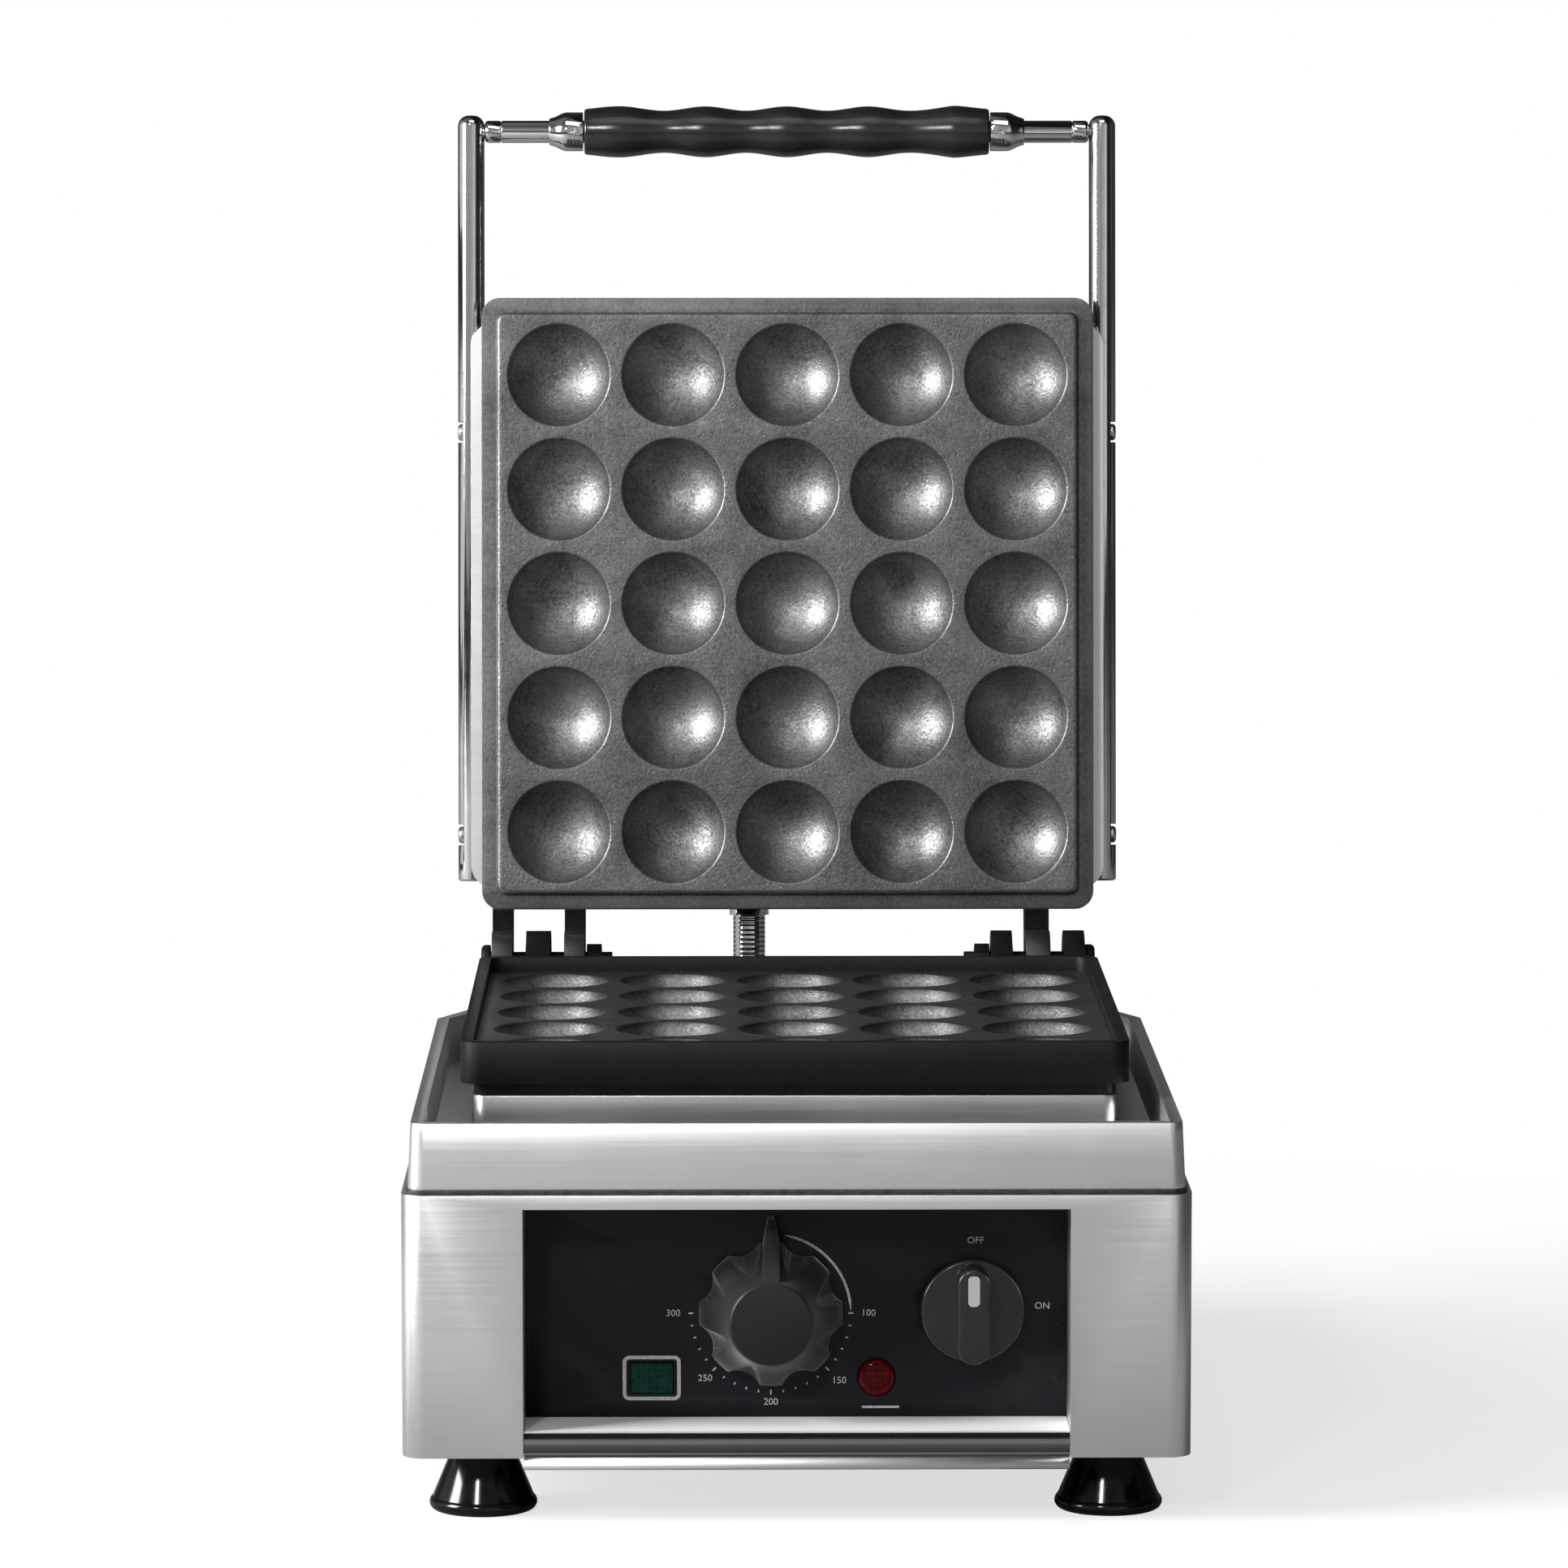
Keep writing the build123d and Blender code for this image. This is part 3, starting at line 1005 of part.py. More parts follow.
def lid_gland():
    body = Cylinder(CONDUIT_R + 1.5, GLAND_LENGTH)
    body = Pos(0, 0, GLAND_LENGTH / 2) * body
    body += extrude(RegularPolygon(GLAND_R, 6), 6)
    body += Pos(0, 0, -SHEET - 2) * Cylinder(CONDUIT_R - SEAT_GAP, 2 * (SHEET + 2))
    body -= Cylinder(CONDUIT_R - 2, 8 * GLAND_LENGTH)
    return on_lid(Pos(CONDUIT_X, -COVER_START, GLAND_H) * Rot(-90, 0, 0) * body)


pieces["housing"] = housing()
pieces["base_pan"] = base_pan()
pieces["front_rail"] = front_rail()
pieces["control_panel"] = control_panel()
pieces["rear_cover"] = rear_cover()
pieces["rear_screws"] = rear_screws()
pieces["top_deck"] = top_deck()
pieces["pedestal"] = pedestal()
pieces["lower_plate"] = lower_plate()
pieces["lower_element"] = lower_element()
pieces["lower_clamp"] = lower_clamp()
pieces["lower_insulation"] = lower_insulation()
pieces["lower_studs"] = lower_studs()
pieces["hinge_bolt_left"] = hinge_bolt(-1)
pieces["hinge_bolt_right"] = hinge_bolt(1)
pieces["hinge_nut_left"] = hinge_nut(-1)
pieces["hinge_nut_right"] = hinge_nut(1)
pieces["upper_plate"] = upper_plate()
pieces["upper_element"] = upper_element()
pieces["upper_clamp"] = upper_clamp()
pieces["upper_insulation"] = upper_insulation()
pieces["lid_cover"] = lid_cover()
pieces["cover_screws"] = cover_screws()
pieces["side_rod_left"] = side_rod(-1)
pieces["side_rod_right"] = side_rod(1)
pieces["rod_screws"] = rod_screws()
pieces["handle_bar"] = handle_bar()
pieces["handle_grip"] = handle_grip()
pieces["ferrule_left"] = ferrule(-1)
pieces["ferrule_right"] = ferrule(1)
pieces["set_screws"] = set_screws()
pieces["thermostat_knob"] = thermostat_knob()
pieces["thermostat_spindle"] = thermostat_spindle()
pieces["thermostat_body"] = thermostat_body()
pieces["switch_knob"] = switch_knob()
pieces["switch_marker"] = switch_marker()
pieces["switch_spindle"] = switch_spindle()
pieces["switch_body"] = switch_body()
pieces["green_lamp"] = green_lamp()
pieces["green_lamp_holder"] = green_lamp_holder()
pieces["red_lamp"] = red_lamp()
pieces["red_lamp_holder"] = red_lamp_holder()
foot_names = ("foot_front_left", "foot_front_right", "foot_rear_left", "foot_rear_right")
for name, spot in zip(foot_names, foot_places()):
    pieces[name] = Pos(*spot, 0) * foot()
pieces["foot_screws"] = foot_screws()
pieces["terminal_block"] = terminal_block()
pieces["mains_gland"] = mains_gland()
pieces["conduit_elbow"] = conduit_elbow()
pieces["conduit"] = conduit()
pieces["lid_gland"] = lid_gland()

# The origin is on the floor, under the middle of the machine's depth with the lid open
rear = max(piece.bounding_box().max.Y for piece in pieces.values())
front = min(piece.bounding_box().min.Y for piece in pieces.values())
CENTRE_Y = (front + rear) / 2
for name, piece in pieces.items():
    export_step(Pos(0, -CENTRE_Y, 0) * piece, "parts/" + name + ".step")
print("hinge axis y %.3f z %.3f" % (AXIS_Y - CENTRE_Y, AXIS_Z))
print("knob axis x %.3f z %.3f, switch axis x %.3f z %.3f" % (DIAL_X, DIAL_Z, SWITCH_X, SWITCH_Z))
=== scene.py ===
import json
import math

import bmesh
import bpy
from mathutils import Matrix, Vector, geometry

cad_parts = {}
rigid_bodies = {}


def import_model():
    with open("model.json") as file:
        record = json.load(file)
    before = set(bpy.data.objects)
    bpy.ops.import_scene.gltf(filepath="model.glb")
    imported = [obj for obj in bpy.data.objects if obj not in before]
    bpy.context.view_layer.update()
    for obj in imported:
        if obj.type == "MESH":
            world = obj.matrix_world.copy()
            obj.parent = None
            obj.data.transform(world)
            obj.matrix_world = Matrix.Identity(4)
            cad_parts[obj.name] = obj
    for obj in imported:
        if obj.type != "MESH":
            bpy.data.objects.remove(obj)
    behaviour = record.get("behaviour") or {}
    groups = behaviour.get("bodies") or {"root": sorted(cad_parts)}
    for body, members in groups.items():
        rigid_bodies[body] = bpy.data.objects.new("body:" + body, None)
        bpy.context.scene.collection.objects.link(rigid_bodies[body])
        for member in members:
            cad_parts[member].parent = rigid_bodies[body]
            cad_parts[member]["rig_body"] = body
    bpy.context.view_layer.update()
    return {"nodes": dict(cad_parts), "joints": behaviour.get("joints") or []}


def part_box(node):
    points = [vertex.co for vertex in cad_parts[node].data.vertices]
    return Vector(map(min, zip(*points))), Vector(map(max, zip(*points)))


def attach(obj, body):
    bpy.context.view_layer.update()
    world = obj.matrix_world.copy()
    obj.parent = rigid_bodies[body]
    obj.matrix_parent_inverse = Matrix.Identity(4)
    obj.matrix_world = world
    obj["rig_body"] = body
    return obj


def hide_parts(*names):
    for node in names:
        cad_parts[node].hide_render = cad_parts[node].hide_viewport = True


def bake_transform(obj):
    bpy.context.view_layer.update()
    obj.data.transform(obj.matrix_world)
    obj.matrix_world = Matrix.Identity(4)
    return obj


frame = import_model()

# Camera: a long lens nearly three metres in front of the machine and a little above its lid,
# looking six degrees down, as in the photograph.
camera_data = bpy.data.cameras.new("Camera")
camera_data.lens = 174.6
camera_data.sensor_width = 36.0
camera_data.clip_end = 60.0
camera = bpy.data.objects.new("Camera", camera_data)
camera.location = (-0.0317, -3.1047, 0.5965)
camera.rotation_euler = (math.radians(83.9), 0.0, math.radians(-0.53))
bpy.context.scene.collection.objects.link(camera)
bpy.context.scene.camera = camera
bpy.context.scene.view_settings.view_transform = "Standard"

# Studio: a pale floor, painted darker round the machine, that runs out into a white surround, a large soft
# box on the left, and weaker ones from high in front and from overhead.


def place(tree, kind, sockets=(), **settings):
    """Adds a node: settings are its own choices, sockets are its inputs' values or what feeds them."""
    node = tree.nodes.new(kind)
    for key, value in settings.items():
        setattr(node, key, value)
    for key, value in dict(sockets).items():
        if isinstance(value, bpy.types.NodeSocket):
            tree.links.new(value, node.inputs[key])
        else:
            node.inputs[key].default_value = value
    return node


def blend_stops(tree, value, stops):
    """A colour ramp with the given (place, brightness or colour) stops, its first two ones first."""
    ramp = place(tree, "ShaderNodeValToRGB", {"Fac": value})
    for number, (spot, tone) in enumerate(stops):
        colour = tone if isinstance(tone, tuple) else (tone, tone, tone)
        mark = ramp.color_ramp.elements[number] if number < 2 else ramp.color_ramp.elements.new(spot)
        mark.position = spot
        mark.color = (*colour, 1.0)
    return ramp.outputs["Color"]


world = bpy.data.worlds.new("Studio")
bpy.context.scene.world = world
world.use_nodes = True
sky = world.node_tree
sky.nodes.clear()
ray = place(sky, "ShaderNodeLightPath")
view = place(sky, "ShaderNodeTexCoord")
direction = place(sky, "ShaderNodeSeparateXYZ", {"Vector": view.outputs["Generated"]})
behind = place(sky, "ShaderNodeMath", {0: direction.outputs["Y"], 1: -1.0}, operation="MULTIPLY")
turn = place(sky, "ShaderNodeMath", {0: direction.outputs["X"], 1: behind.outputs[0]}, operation="ARCTAN2")
turn = place(sky, "ShaderNodeMath", {0: turn.outputs[0], 1: 0.5 / math.pi, 2: 0.5},
             operation="MULTIPLY_ADD")
# The room that the steel mirrors, by direction: 0.25 is the left, 0.5 the front and 0.75 the right.
room = blend_stops(sky, turn.outputs[0], [
    (0.0, 0.12), (1.0, 0.12), (0.15, 0.12), (0.20, 0.80), (0.28, 0.90), (0.38, 0.50), (0.45, 0.38),
    (0.50, 0.48), (0.59, 0.84), (0.625, 0.03), (0.72, 0.03), (0.75, 0.12), (0.78, 0.04), (0.88, 0.05)])
ceiling = place(sky, "ShaderNodeMapRange", {
    "Value": direction.outputs["Z"], "From Min": 0.20, "From Max": 0.65, "To Min": 1.0, "To Max": 0.25})
soft_light = place(sky, "ShaderNodeBackground", {"Color": (1.0, 1.0, 1.0, 1.0), "Strength": 0.08})
mirror_light = place(sky, "ShaderNodeBackground", {"Color": room, "Strength": ceiling.outputs["Result"]})
white_back = place(sky, "ShaderNodeBackground", {"Color": (1.0, 1.0, 1.0, 1.0), "Strength": 1.0})
seen_in_gloss = place(sky, "ShaderNodeMath", {
    0: ray.outputs["Is Glossy Ray"], 1: ray.outputs["Is Transmission Ray"]}, operation="MAXIMUM")
surround = place(sky, "ShaderNodeMixShader", {
    "Fac": seen_in_gloss.outputs[0], 1: soft_light.outputs[0], 2: mirror_light.outputs[0]})
surround = place(sky, "ShaderNodeMixShader", {
    "Fac": ray.outputs["Is Camera Ray"], 1: surround.outputs[0], 2: white_back.outputs[0]})
place(sky, "ShaderNodeOutputWorld", {"Surface": surround.outputs[0]})

floor_mesh = bpy.data.meshes.new("floor")
floor_mesh.from_pydata([(-14, -14, 0), (14, -14, 0), (14, 14, 0), (-14, 14, 0)], [], [(0, 1, 2, 3)])
floor = bpy.data.objects.new("floor", floor_mesh)
bpy.context.scene.collection.objects.link(floor)
paper = bpy.data.materials.new("PalePaper")
paper.use_nodes = True
tree = paper.node_tree
tree.nodes.clear()
spot = place(tree, "ShaderNodeTexCoord").outputs["Object"]
grain = place(tree, "ShaderNodeTexNoise", {"Vector": spot, "Scale": 90.0, "Detail": 3.0})
# Painted shade: the floor is darker near the machine, fading out from 0.25 to 0.45 m, and the steel mirrors
# it.
tint = blend_stops(tree, grain.outputs["Fac"], [(0.3, 0.28), (0.7, 0.30)])
reach = place(tree, "ShaderNodeVectorMath", {0: spot}, operation="LENGTH")
painted_shade_fade = place(tree, "ShaderNodeMapRange", {
    "Value": reach.outputs["Value"], "From Min": 0.25, "From Max": 0.45})
tint = place(tree, "ShaderNodeMix", {
    0: painted_shade_fade.outputs["Result"], 6: tint, 7: (0.44, 0.44, 0.44, 1.0)}, data_type="RGBA").outputs[2]
plain = place(tree, "ShaderNodeBsdfPrincipled", {
    "Base Color": tint, "Roughness": 0.9, "Specular IOR Level": 0.1})
lift = place(tree, "ShaderNodeEmission", {"Color": (1.0, 1.0, 1.0, 1.0), "Strength": 0.70})
both = place(tree, "ShaderNodeAddShader", {0: plain.outputs[0], 1: lift.outputs[0]})
white = place(tree, "ShaderNodeEmission", {"Color": (1.0, 1.0, 1.0, 1.0), "Strength": 1.0})
far = place(tree, "ShaderNodeMapRange", {
    "Value": reach.outputs["Value"], "From Min": 0.30, "From Max": 0.75})
both = place(tree, "ShaderNodeMixShader", {
    "Fac": far.outputs["Result"], 1: both.outputs[0], 2: white.outputs[0]})
to_camera = place(tree, "ShaderNodeLightPath").outputs["Is Camera Ray"]
shown = place(tree, "ShaderNodeMixShader", {"Fac": to_camera, 1: plain.outputs[0], 2: both.outputs[0]})
place(tree, "ShaderNodeOutputMaterial", {"Surface": shown.outputs[0]})
floor_mesh.materials.append(paper)


def softbox(name, spot, size, power):
    """A rectangular lamp aimed at the middle of the machine."""
    middle = Vector((0.0, 0.0, 0.25))
    data = bpy.data.lights.new(name, "AREA")
    data.shape = "RECTANGLE"
    data.size, data.size_y = size
    data.energy = power
    lamp = bpy.data.objects.new(name, data)
    lamp.location = spot
    lamp.rotation_euler = (middle - Vector(spot)).to_track_quat("-Z", "Y").to_euler()
    bpy.context.scene.collection.objects.link(lamp)


softbox("key_left", (-1.95, -0.75, 1.05), (0.80, 1.00), 92.0)
softbox("front_high", (-0.75, -2.50, 1.60), (0.28, 0.28), 22.0)
softbox("overhead", (0.0, -0.9, 2.1), (1.2, 0.9), 6.0)

# Housing: the base's body, one sheet of 1.2 mm stainless folded round the front recess, with a
# fine horizontal brush grain, a flange under the deck and screw holes at the back.


def open_group(name, inputs, outputs):
    """A shader node group with named (label, kind, value) inputs and (label, kind) outputs."""
    group = bpy.data.node_groups.new(name, "ShaderNodeTree")
    for label, kind, value in inputs:
        socket = group.interface.new_socket(name=label, in_out="INPUT", socket_type=kind)
        if value is not None:
            socket.default_value = value
    for label, kind in outputs:
        group.interface.new_socket(name=label, in_out="OUTPUT", socket_type=kind)
    return group, group.nodes.new("NodeGroupInput"), group.nodes.new("NodeGroupOutput")


brush_group, given, result = open_group(
    "BrushLines", [("Vector", "NodeSocketVector", None), ("Fineness", "NodeSocketFloat", 900.0)],
    [("Line", "NodeSocketFloat")])
facing = place(brush_group, "ShaderNodeSeparateXYZ", {
    "Vector": place(brush_group, "ShaderNodeNewGeometry").outputs["Normal"]})
sideways = place(brush_group, "ShaderNodeMath", {0: facing.outputs["X"]}, operation="ABSOLUTE")
sideways = place(brush_group, "ShaderNodeMath", {0: sideways.outputs[0], 1: 0.75}, operation="GREATER_THAN")
streaks = []
for stretch in ((0.012, 1.0, 1.0), (1.0, 0.012, 1.0)):
    drawn = place(brush_group, "ShaderNodeVectorMath", {0: given.outputs["Vector"], 1: stretch},
                  operation="MULTIPLY")
    streaks.append(place(brush_group, "ShaderNodeTexNoise", {
        "Vector": drawn.outputs[0], "Scale": given.outputs["Fineness"], "Detail": 4.0, "Roughness": 0.6}))
picked = place(brush_group, "ShaderNodeMix", {
    0: sideways.outputs[0], 2: streaks[0].outputs["Fac"], 3: streaks[1].outputs["Fac"]}, data_type="FLOAT")
brush_group.links.new(picked.outputs[0], result.inputs["Line"])

smudge_group, given, result = open_group(
    "HandledPatches", [("Vector", "NodeSocketVector", None), ("Size", "NodeSocketFloat", 14.0),
                       ("Low", "NodeSocketFloat", 0.2), ("High", "NodeSocketFloat", 0.3)],
    [("Value", "NodeSocketFloat")])
cloud = place(smudge_group, "ShaderNodeTexNoise", {
    "Vector": given.outputs["Vector"], "Scale": given.outputs["Size"], "Detail": 4.0, "Roughness": 0.62,
    "Distortion": 0.4})
spread = place(smudge_group, "ShaderNodeMapRange", {
    "Value": cloud.outputs["Fac"], "From Min": 0.35, "From Max": 0.68, "To Min": given.outputs["Low"],
    "To Max": given.outputs["High"]})
smudge_group.links.new(spread.outputs["Result"], result.inputs["Value"])


def handled(tree, spot, size, low, high):
    """Cloudy patches between two values, as cloths and fingers leave them; size is their fineness."""
    patches = place(tree, "ShaderNodeGroup", {"Vector": spot, "Size": size, "Low": low, "High": high},
                    node_tree=smudge_group)
    return patches.outputs["Value"]


def finish(name, **sockets):
    """A new material with one Principled BSDF; returns the material, its tree, shader and coordinates."""
    material = bpy.data.materials.new(name)
    material.use_nodes = True
    tree = material.node_tree
    shader = tree.nodes["Principled BSDF"]
    for label, value in sockets.items():
        shader.inputs[label.replace("_", " ")].default_value = value
    return material, tree, shader, place(tree, "ShaderNodeTexCoord").outputs["Object"]


def brushed(name, tone, rough, fineness, depth):
    """Stainless with brush lines: tone and rough are (low, high), depth is the bump's strength."""
    material, tree, shader, spot = finish(name, Metallic=1.0)
    lines = place(tree, "ShaderNodeGroup", {"Vector": spot, "Fineness": fineness}, node_tree=brush_group)
    line = lines.outputs["Line"]
    patch_size, streak_share, blue_cast = 14.0, 0.16, 1.005
    patches = handled(tree, spot, patch_size, *rough)
    dark, light = ((grey, grey, grey * blue_cast) for grey in tone)
    colour = blend_stops(tree, line, [(0.3, dark), (0.7, light)])
    streaked = place(tree, "ShaderNodeMath", {0: line, 1: streak_share, 2: patches},
                     operation="MULTIPLY_ADD")
    relief = place(tree, "ShaderNodeBump", {"Height": line, "Strength": depth, "Distance": 0.0001})
    tree.links.new(colour, shader.inputs["Base Color"])
    tree.links.new(streaked.outputs[0], shader.inputs["Roughness"])
    tree.links.new(relief.outputs["Normal"], shader.inputs["Normal"])
    return material


def coat(obj, material):
    """Gives an object one material in place of what it has."""
    obj.data.materials.clear()
    obj.data.materials.append(material)


def eased(node, edge, material, corner=28.0, milled_away=None, let_down=None, wide_flats=False):
    """A copy of a frame part with its sharp edges eased, shown in the part's place. Faces whose every
    corner passes milled_away are left out and the cut edge is let down, for a finer surface there.
    With wide_flats, a wide flat face is shaded flat right up to the screw holes in it."""
    mesh = frame["nodes"][node].data.copy()
    shape = bmesh.new()
    shape.from_mesh(mesh)
    weld, flat_within = 0.000002, math.radians(0.5)
    bmesh.ops.remove_doubles(shape, verts=shape.verts, dist=weld)
    if milled_away:
        gone = [face for face in shape.faces if all(milled_away(vert.co) for vert in face.verts)]
        bmesh.ops.delete(shape, geom=gone, context="FACES")
        if let_down:
            for vert in (vert for vert in shape.verts if milled_away(vert.co)):
                vert.co += let_down
    bmesh.ops.dissolve_limit(shape, angle_limit=flat_within, verts=shape.verts, edges=shape.edges)
    shape.to_mesh(mesh)
    shape.free()
    mesh.polygons.foreach_set("use_smooth", [True] * len(mesh.polygons))
    obj = bpy.data.objects.new(node + "_eased", mesh)
    bpy.context.scene.collection.objects.link(obj)
    bevel = obj.modifiers.new("eased_edges", "BEVEL")
    bevel.width = edge
    bevel.segments = 2
    bevel.limit_method = "ANGLE"
    bevel.angle_limit = math.radians(corner)
    bevel.harden_normals = True
    if wide_flats:
        obj.modifiers.new("flat_faces", "WEIGHTED_NORMAL").weight = 100
    coat(obj, material)
    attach(obj, frame["nodes"][node]["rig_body"])
    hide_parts(node)
    return obj


sheet_steel = brushed("BrushedStainless", (0.72, 0.75), (0.28, 0.33), 900.0, 0.03)
eased("housing", 0.0004, sheet_steel)

# Base pan: the floor of the body, stainless sheet with punched cooling slots and a turned-up lip,
# let into the housing from below.
pan_steel = brushed("PanStainless", (0.42, 0.48), (0.28, 0.36), 500.0, 0.15)
coat(frame["nodes"]["base_pan"], pan_steel)

# Front rail: stainless ledge, apron and rolled nose below the control panel, folded from one strip
# with a groove under the ledge; the ledge is brushed and the apron polished.
rail_low, rail_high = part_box("front_rail")
ledge_round, ledge_drop = 0.0008, 0.0006
groove_in, groove_top, groove_drop = 0.0018, 0.0011, 0.0026
apron_in, apron_lean = 0.0004, 0.0014
corner_in, corner_drop = 0.0004, 0.0005
nose_radius, tuck_in, tuck_rise, back_rise = 0.0025, 0.012, 0.0012, 0.005


def rail_profile():
    """The strip's section from the panel forwards and down, as (y, z) points."""
    front, top, foot = rail_low.y, rail_high.z, rail_low.z
    points = [(rail_high.y, foot + back_rise), (rail_high.y, top), (front + ledge_round, top),
              (front, top - ledge_drop), (front + groove_in, top - groove_top),
              (front + groove_in, top - groove_drop), (front + apron_in + corner_in, top - groove_drop),
              (front + apron_in, top - groove_drop - corner_drop),
              (front + apron_in + apron_lean, foot + 2 * nose_radius)]
    for n in range(9):
        angle = math.radians(90 + 22.5 * n)
        points.append((front + nose_radius * (1 + math.cos(angle)),
                       foot + nose_radius * (1 + math.sin(angle))))
    return points + [(front + tuck_in, foot + tuck_rise), (front + tuck_in, foot + back_rise)]


shape = bmesh.new()
ends = [[shape.verts.new((x, y, z)) for y, z in rail_profile()] for x in (rail_low.x, rail_high.x)]
for n in range(len(ends[0])):
    following = (n + 1) % len(ends[0])
    shape.faces.new((ends[0][n], ends[0][following], ends[1][following], ends[1][n]))
shape.faces.new(ends[0])
shape.faces.new(ends[1])
bmesh.ops.recalc_face_normals(shape, faces=shape.faces)
rail_mesh = bpy.data.meshes.new("rail")
shape.to_mesh(rail_mesh)
shape.free()
front_rail = bpy.data.objects.new("front_rail_strip", rail_mesh)
bpy.context.scene.collection.objects.link(front_rail)
rail_steel = brushed("RailStainless", (0.76, 0.80), (0.44, 0.50), 900.0, 0.02)
# Painted light: the ledge's steel is a nearly white, mostly matt copy of the rail's, for the light it
# mirrors from above.
ledge_painted_light = brushed("LedgeStainless", (0.88, 0.92), (0.40, 0.48), 900.0, 0.05)
ledge_painted_light.node_tree.nodes["Principled BSDF"].inputs["Metallic"].default_value = 0.2
apron_steel, tree, shader, spot = finish("ApronStainless", Metallic=1.0, Roughness=0.12)
height = place(tree, "ShaderNodeSeparateXYZ", {"Vector": spot})
height = place(tree, "ShaderNodeMapRange", {
    "Value": height.outputs["Z"], "From Min": rail_low.z + 2 * nose_radius,
    "From Max": rail_high.z - groove_drop})
# Painted reflections: the apron's colour runs in dark and light bands by height, with bright lines low down
# and high up.
painted_reflection_bands = blend_stops(tree, height.outputs["Result"], [
    (0.0, 0.20), (1.0, 0.20), (0.10, 0.07), (0.19, 0.45), (0.26, 0.09), (0.60, 0.18), (0.76, 0.42)])
tree.links.new(painted_reflection_bands, shader.inputs["Base Color"])
# Painted shade: the groove under the ledge is near black, standing in for the shade under the ledge's lip.
groove_painted_shade, tree, shader, spot = finish("GroovePaintedShade", Metallic=0.6)
film = place(tree, "ShaderNodeTexNoise", {"Vector": spot, "Scale": 400.0, "Detail": 3.0})
film = blend_stops(tree, film.outputs["Fac"], [(0.35, 0.012), (0.65, 0.022)])
tree.links.new(film, shader.inputs["Base Color"])
coat(front_rail, rail_steel)
for steel in (ledge_painted_light, apron_steel, groove_painted_shade):
    rail_mesh.materials.append(steel)
on_ledge, on_apron, in_groove, hair = 1, 2, 3, 0.0002
for face in rail_mesh.polygons:
    over_nose = face.center.z > rail_low.z + 2 * nose_radius
    face.use_smooth = not over_nose and abs(face.normal.x) < 0.5
    if face.normal.z > 0.9 and face.center.z > rail_high.z - hair:
        face.material_index = on_ledge
    elif rail_high.z - groove_drop - 2 * hair < face.center.z < rail_high.z - ledge_drop:
        face.material_index = in_groove
    elif over_nose and face.center.z < rail_high.z - ledge_drop:
        face.material_index = on_apron
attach(front_rail, "base")
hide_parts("front_rail")

# Control panel: steel plate under a black film, with the dial's numbers, ticks and arc, OFF and ON,
# the green lamp's frame and the red lamp's line printed in pale grey.
panel_black, tree, shader, spot = finish("PanelFilm", Specular_IOR_Level=0.18)
speck = place(tree, "ShaderNodeTexNoise", {"Vector": spot, "Scale": 2600.0, "Detail": 2.0})
film = blend_stops(tree, speck.outputs["Fac"], [
    (0.35, (0.0055, 0.0055, 0.0085)), (0.65, (0.0075, 0.0073, 0.0105))])
patches = handled(tree, spot, 14.0, 0.24, 0.34)
relief = place(tree, "ShaderNodeBump", {
    "Height": speck.outputs["Fac"], "Strength": 0.05, "Distance": 0.0001})
tree.links.new(film, shader.inputs["Base Color"])
tree.links.new(patches, shader.inputs["Roughness"])
tree.links.new(relief.outputs["Normal"], shader.inputs["Normal"])
eased("control_panel", 0.0002, panel_black)

panel_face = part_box("control_panel")[0].y
dial_centre = (-0.0098, 0.0774)
ink, tree, shader, spot = finish("PrintedInk", Roughness=0.5)
wear = place(tree, "ShaderNodeTexNoise", {"Vector": spot, "Scale": 1800.0, "Detail": 3.0})
pale = blend_stops(tree, wear.outputs["Fac"], [(0.3, (0.30, 0.30, 0.31)), (0.62, (0.52, 0.52, 0.53))])
tree.links.new(pale, shader.inputs["Base Color"])
ink_height = 0.00003
prints = []


def on_panel(mesh, x, z, name):
    """Stands a flat mesh up on the panel's face, a hair proud of it."""
    mesh.transform(Matrix.Translation((x, panel_face, z)) @ Matrix.Rotation(math.radians(90), 4, "X"))
    obj = bpy.data.objects.new(name, mesh)
    bpy.context.scene.collection.objects.link(obj)
    coat(obj, ink)
    prints.append(obj)


def lettering(words, x, z, height):
    """Words in plain type centred on a point of the panel."""
    line = bpy.data.curves.new("words", "FONT")
    line.body = words
    line.size = height * 1.4
    line.align_x, line.align_y = "CENTER", "CENTER"
    line.extrude = ink_height
    line.resolution_u = 3
    holder = bpy.data.objects.new("words", line)
    bpy.context.scene.collection.objects.link(holder)
    bpy.context.view_layer.update()
    mesh = bpy.data.meshes.new_from_object(holder.evaluated_get(bpy.context.evaluated_depsgraph_get()))
    bpy.data.objects.remove(holder)
    on_panel(mesh, x, z, "print_" + words)


def band(points_in, points_out, name, closed):
    """A flat printed line between two rows of points given in metres on the panel."""
    shape = bmesh.new()
    rows = [[shape.verts.new((x, z, ink_height)) for x, z in row] for row in (points_in, points_out)]
    count = len(points_in)
    for n in range(count if closed else count - 1):
        following = (n + 1) % count
        shape.faces.new((rows[0][n], rows[1][n], rows[1][following], rows[0][following]))
    bmesh.ops.recalc_face_normals(shape, faces=shape.faces)
    for face in shape.faces:
        if face.normal.z < 0:
            face.normal_flip()
    mesh = bpy.data.meshes.new(name)
    shape.to_mesh(mesh)
    shape.free()
    on_panel(mesh, 0.0, 0.0, name)


def round_dial(turn, reach):
    """A point on the dial's scale: turn in degrees clockwise from the top, reach in metres."""
    angle = math.radians(turn)
    return dial_centre[0] + reach * math.sin(angle), dial_centre[1] + reach * math.cos(angle)


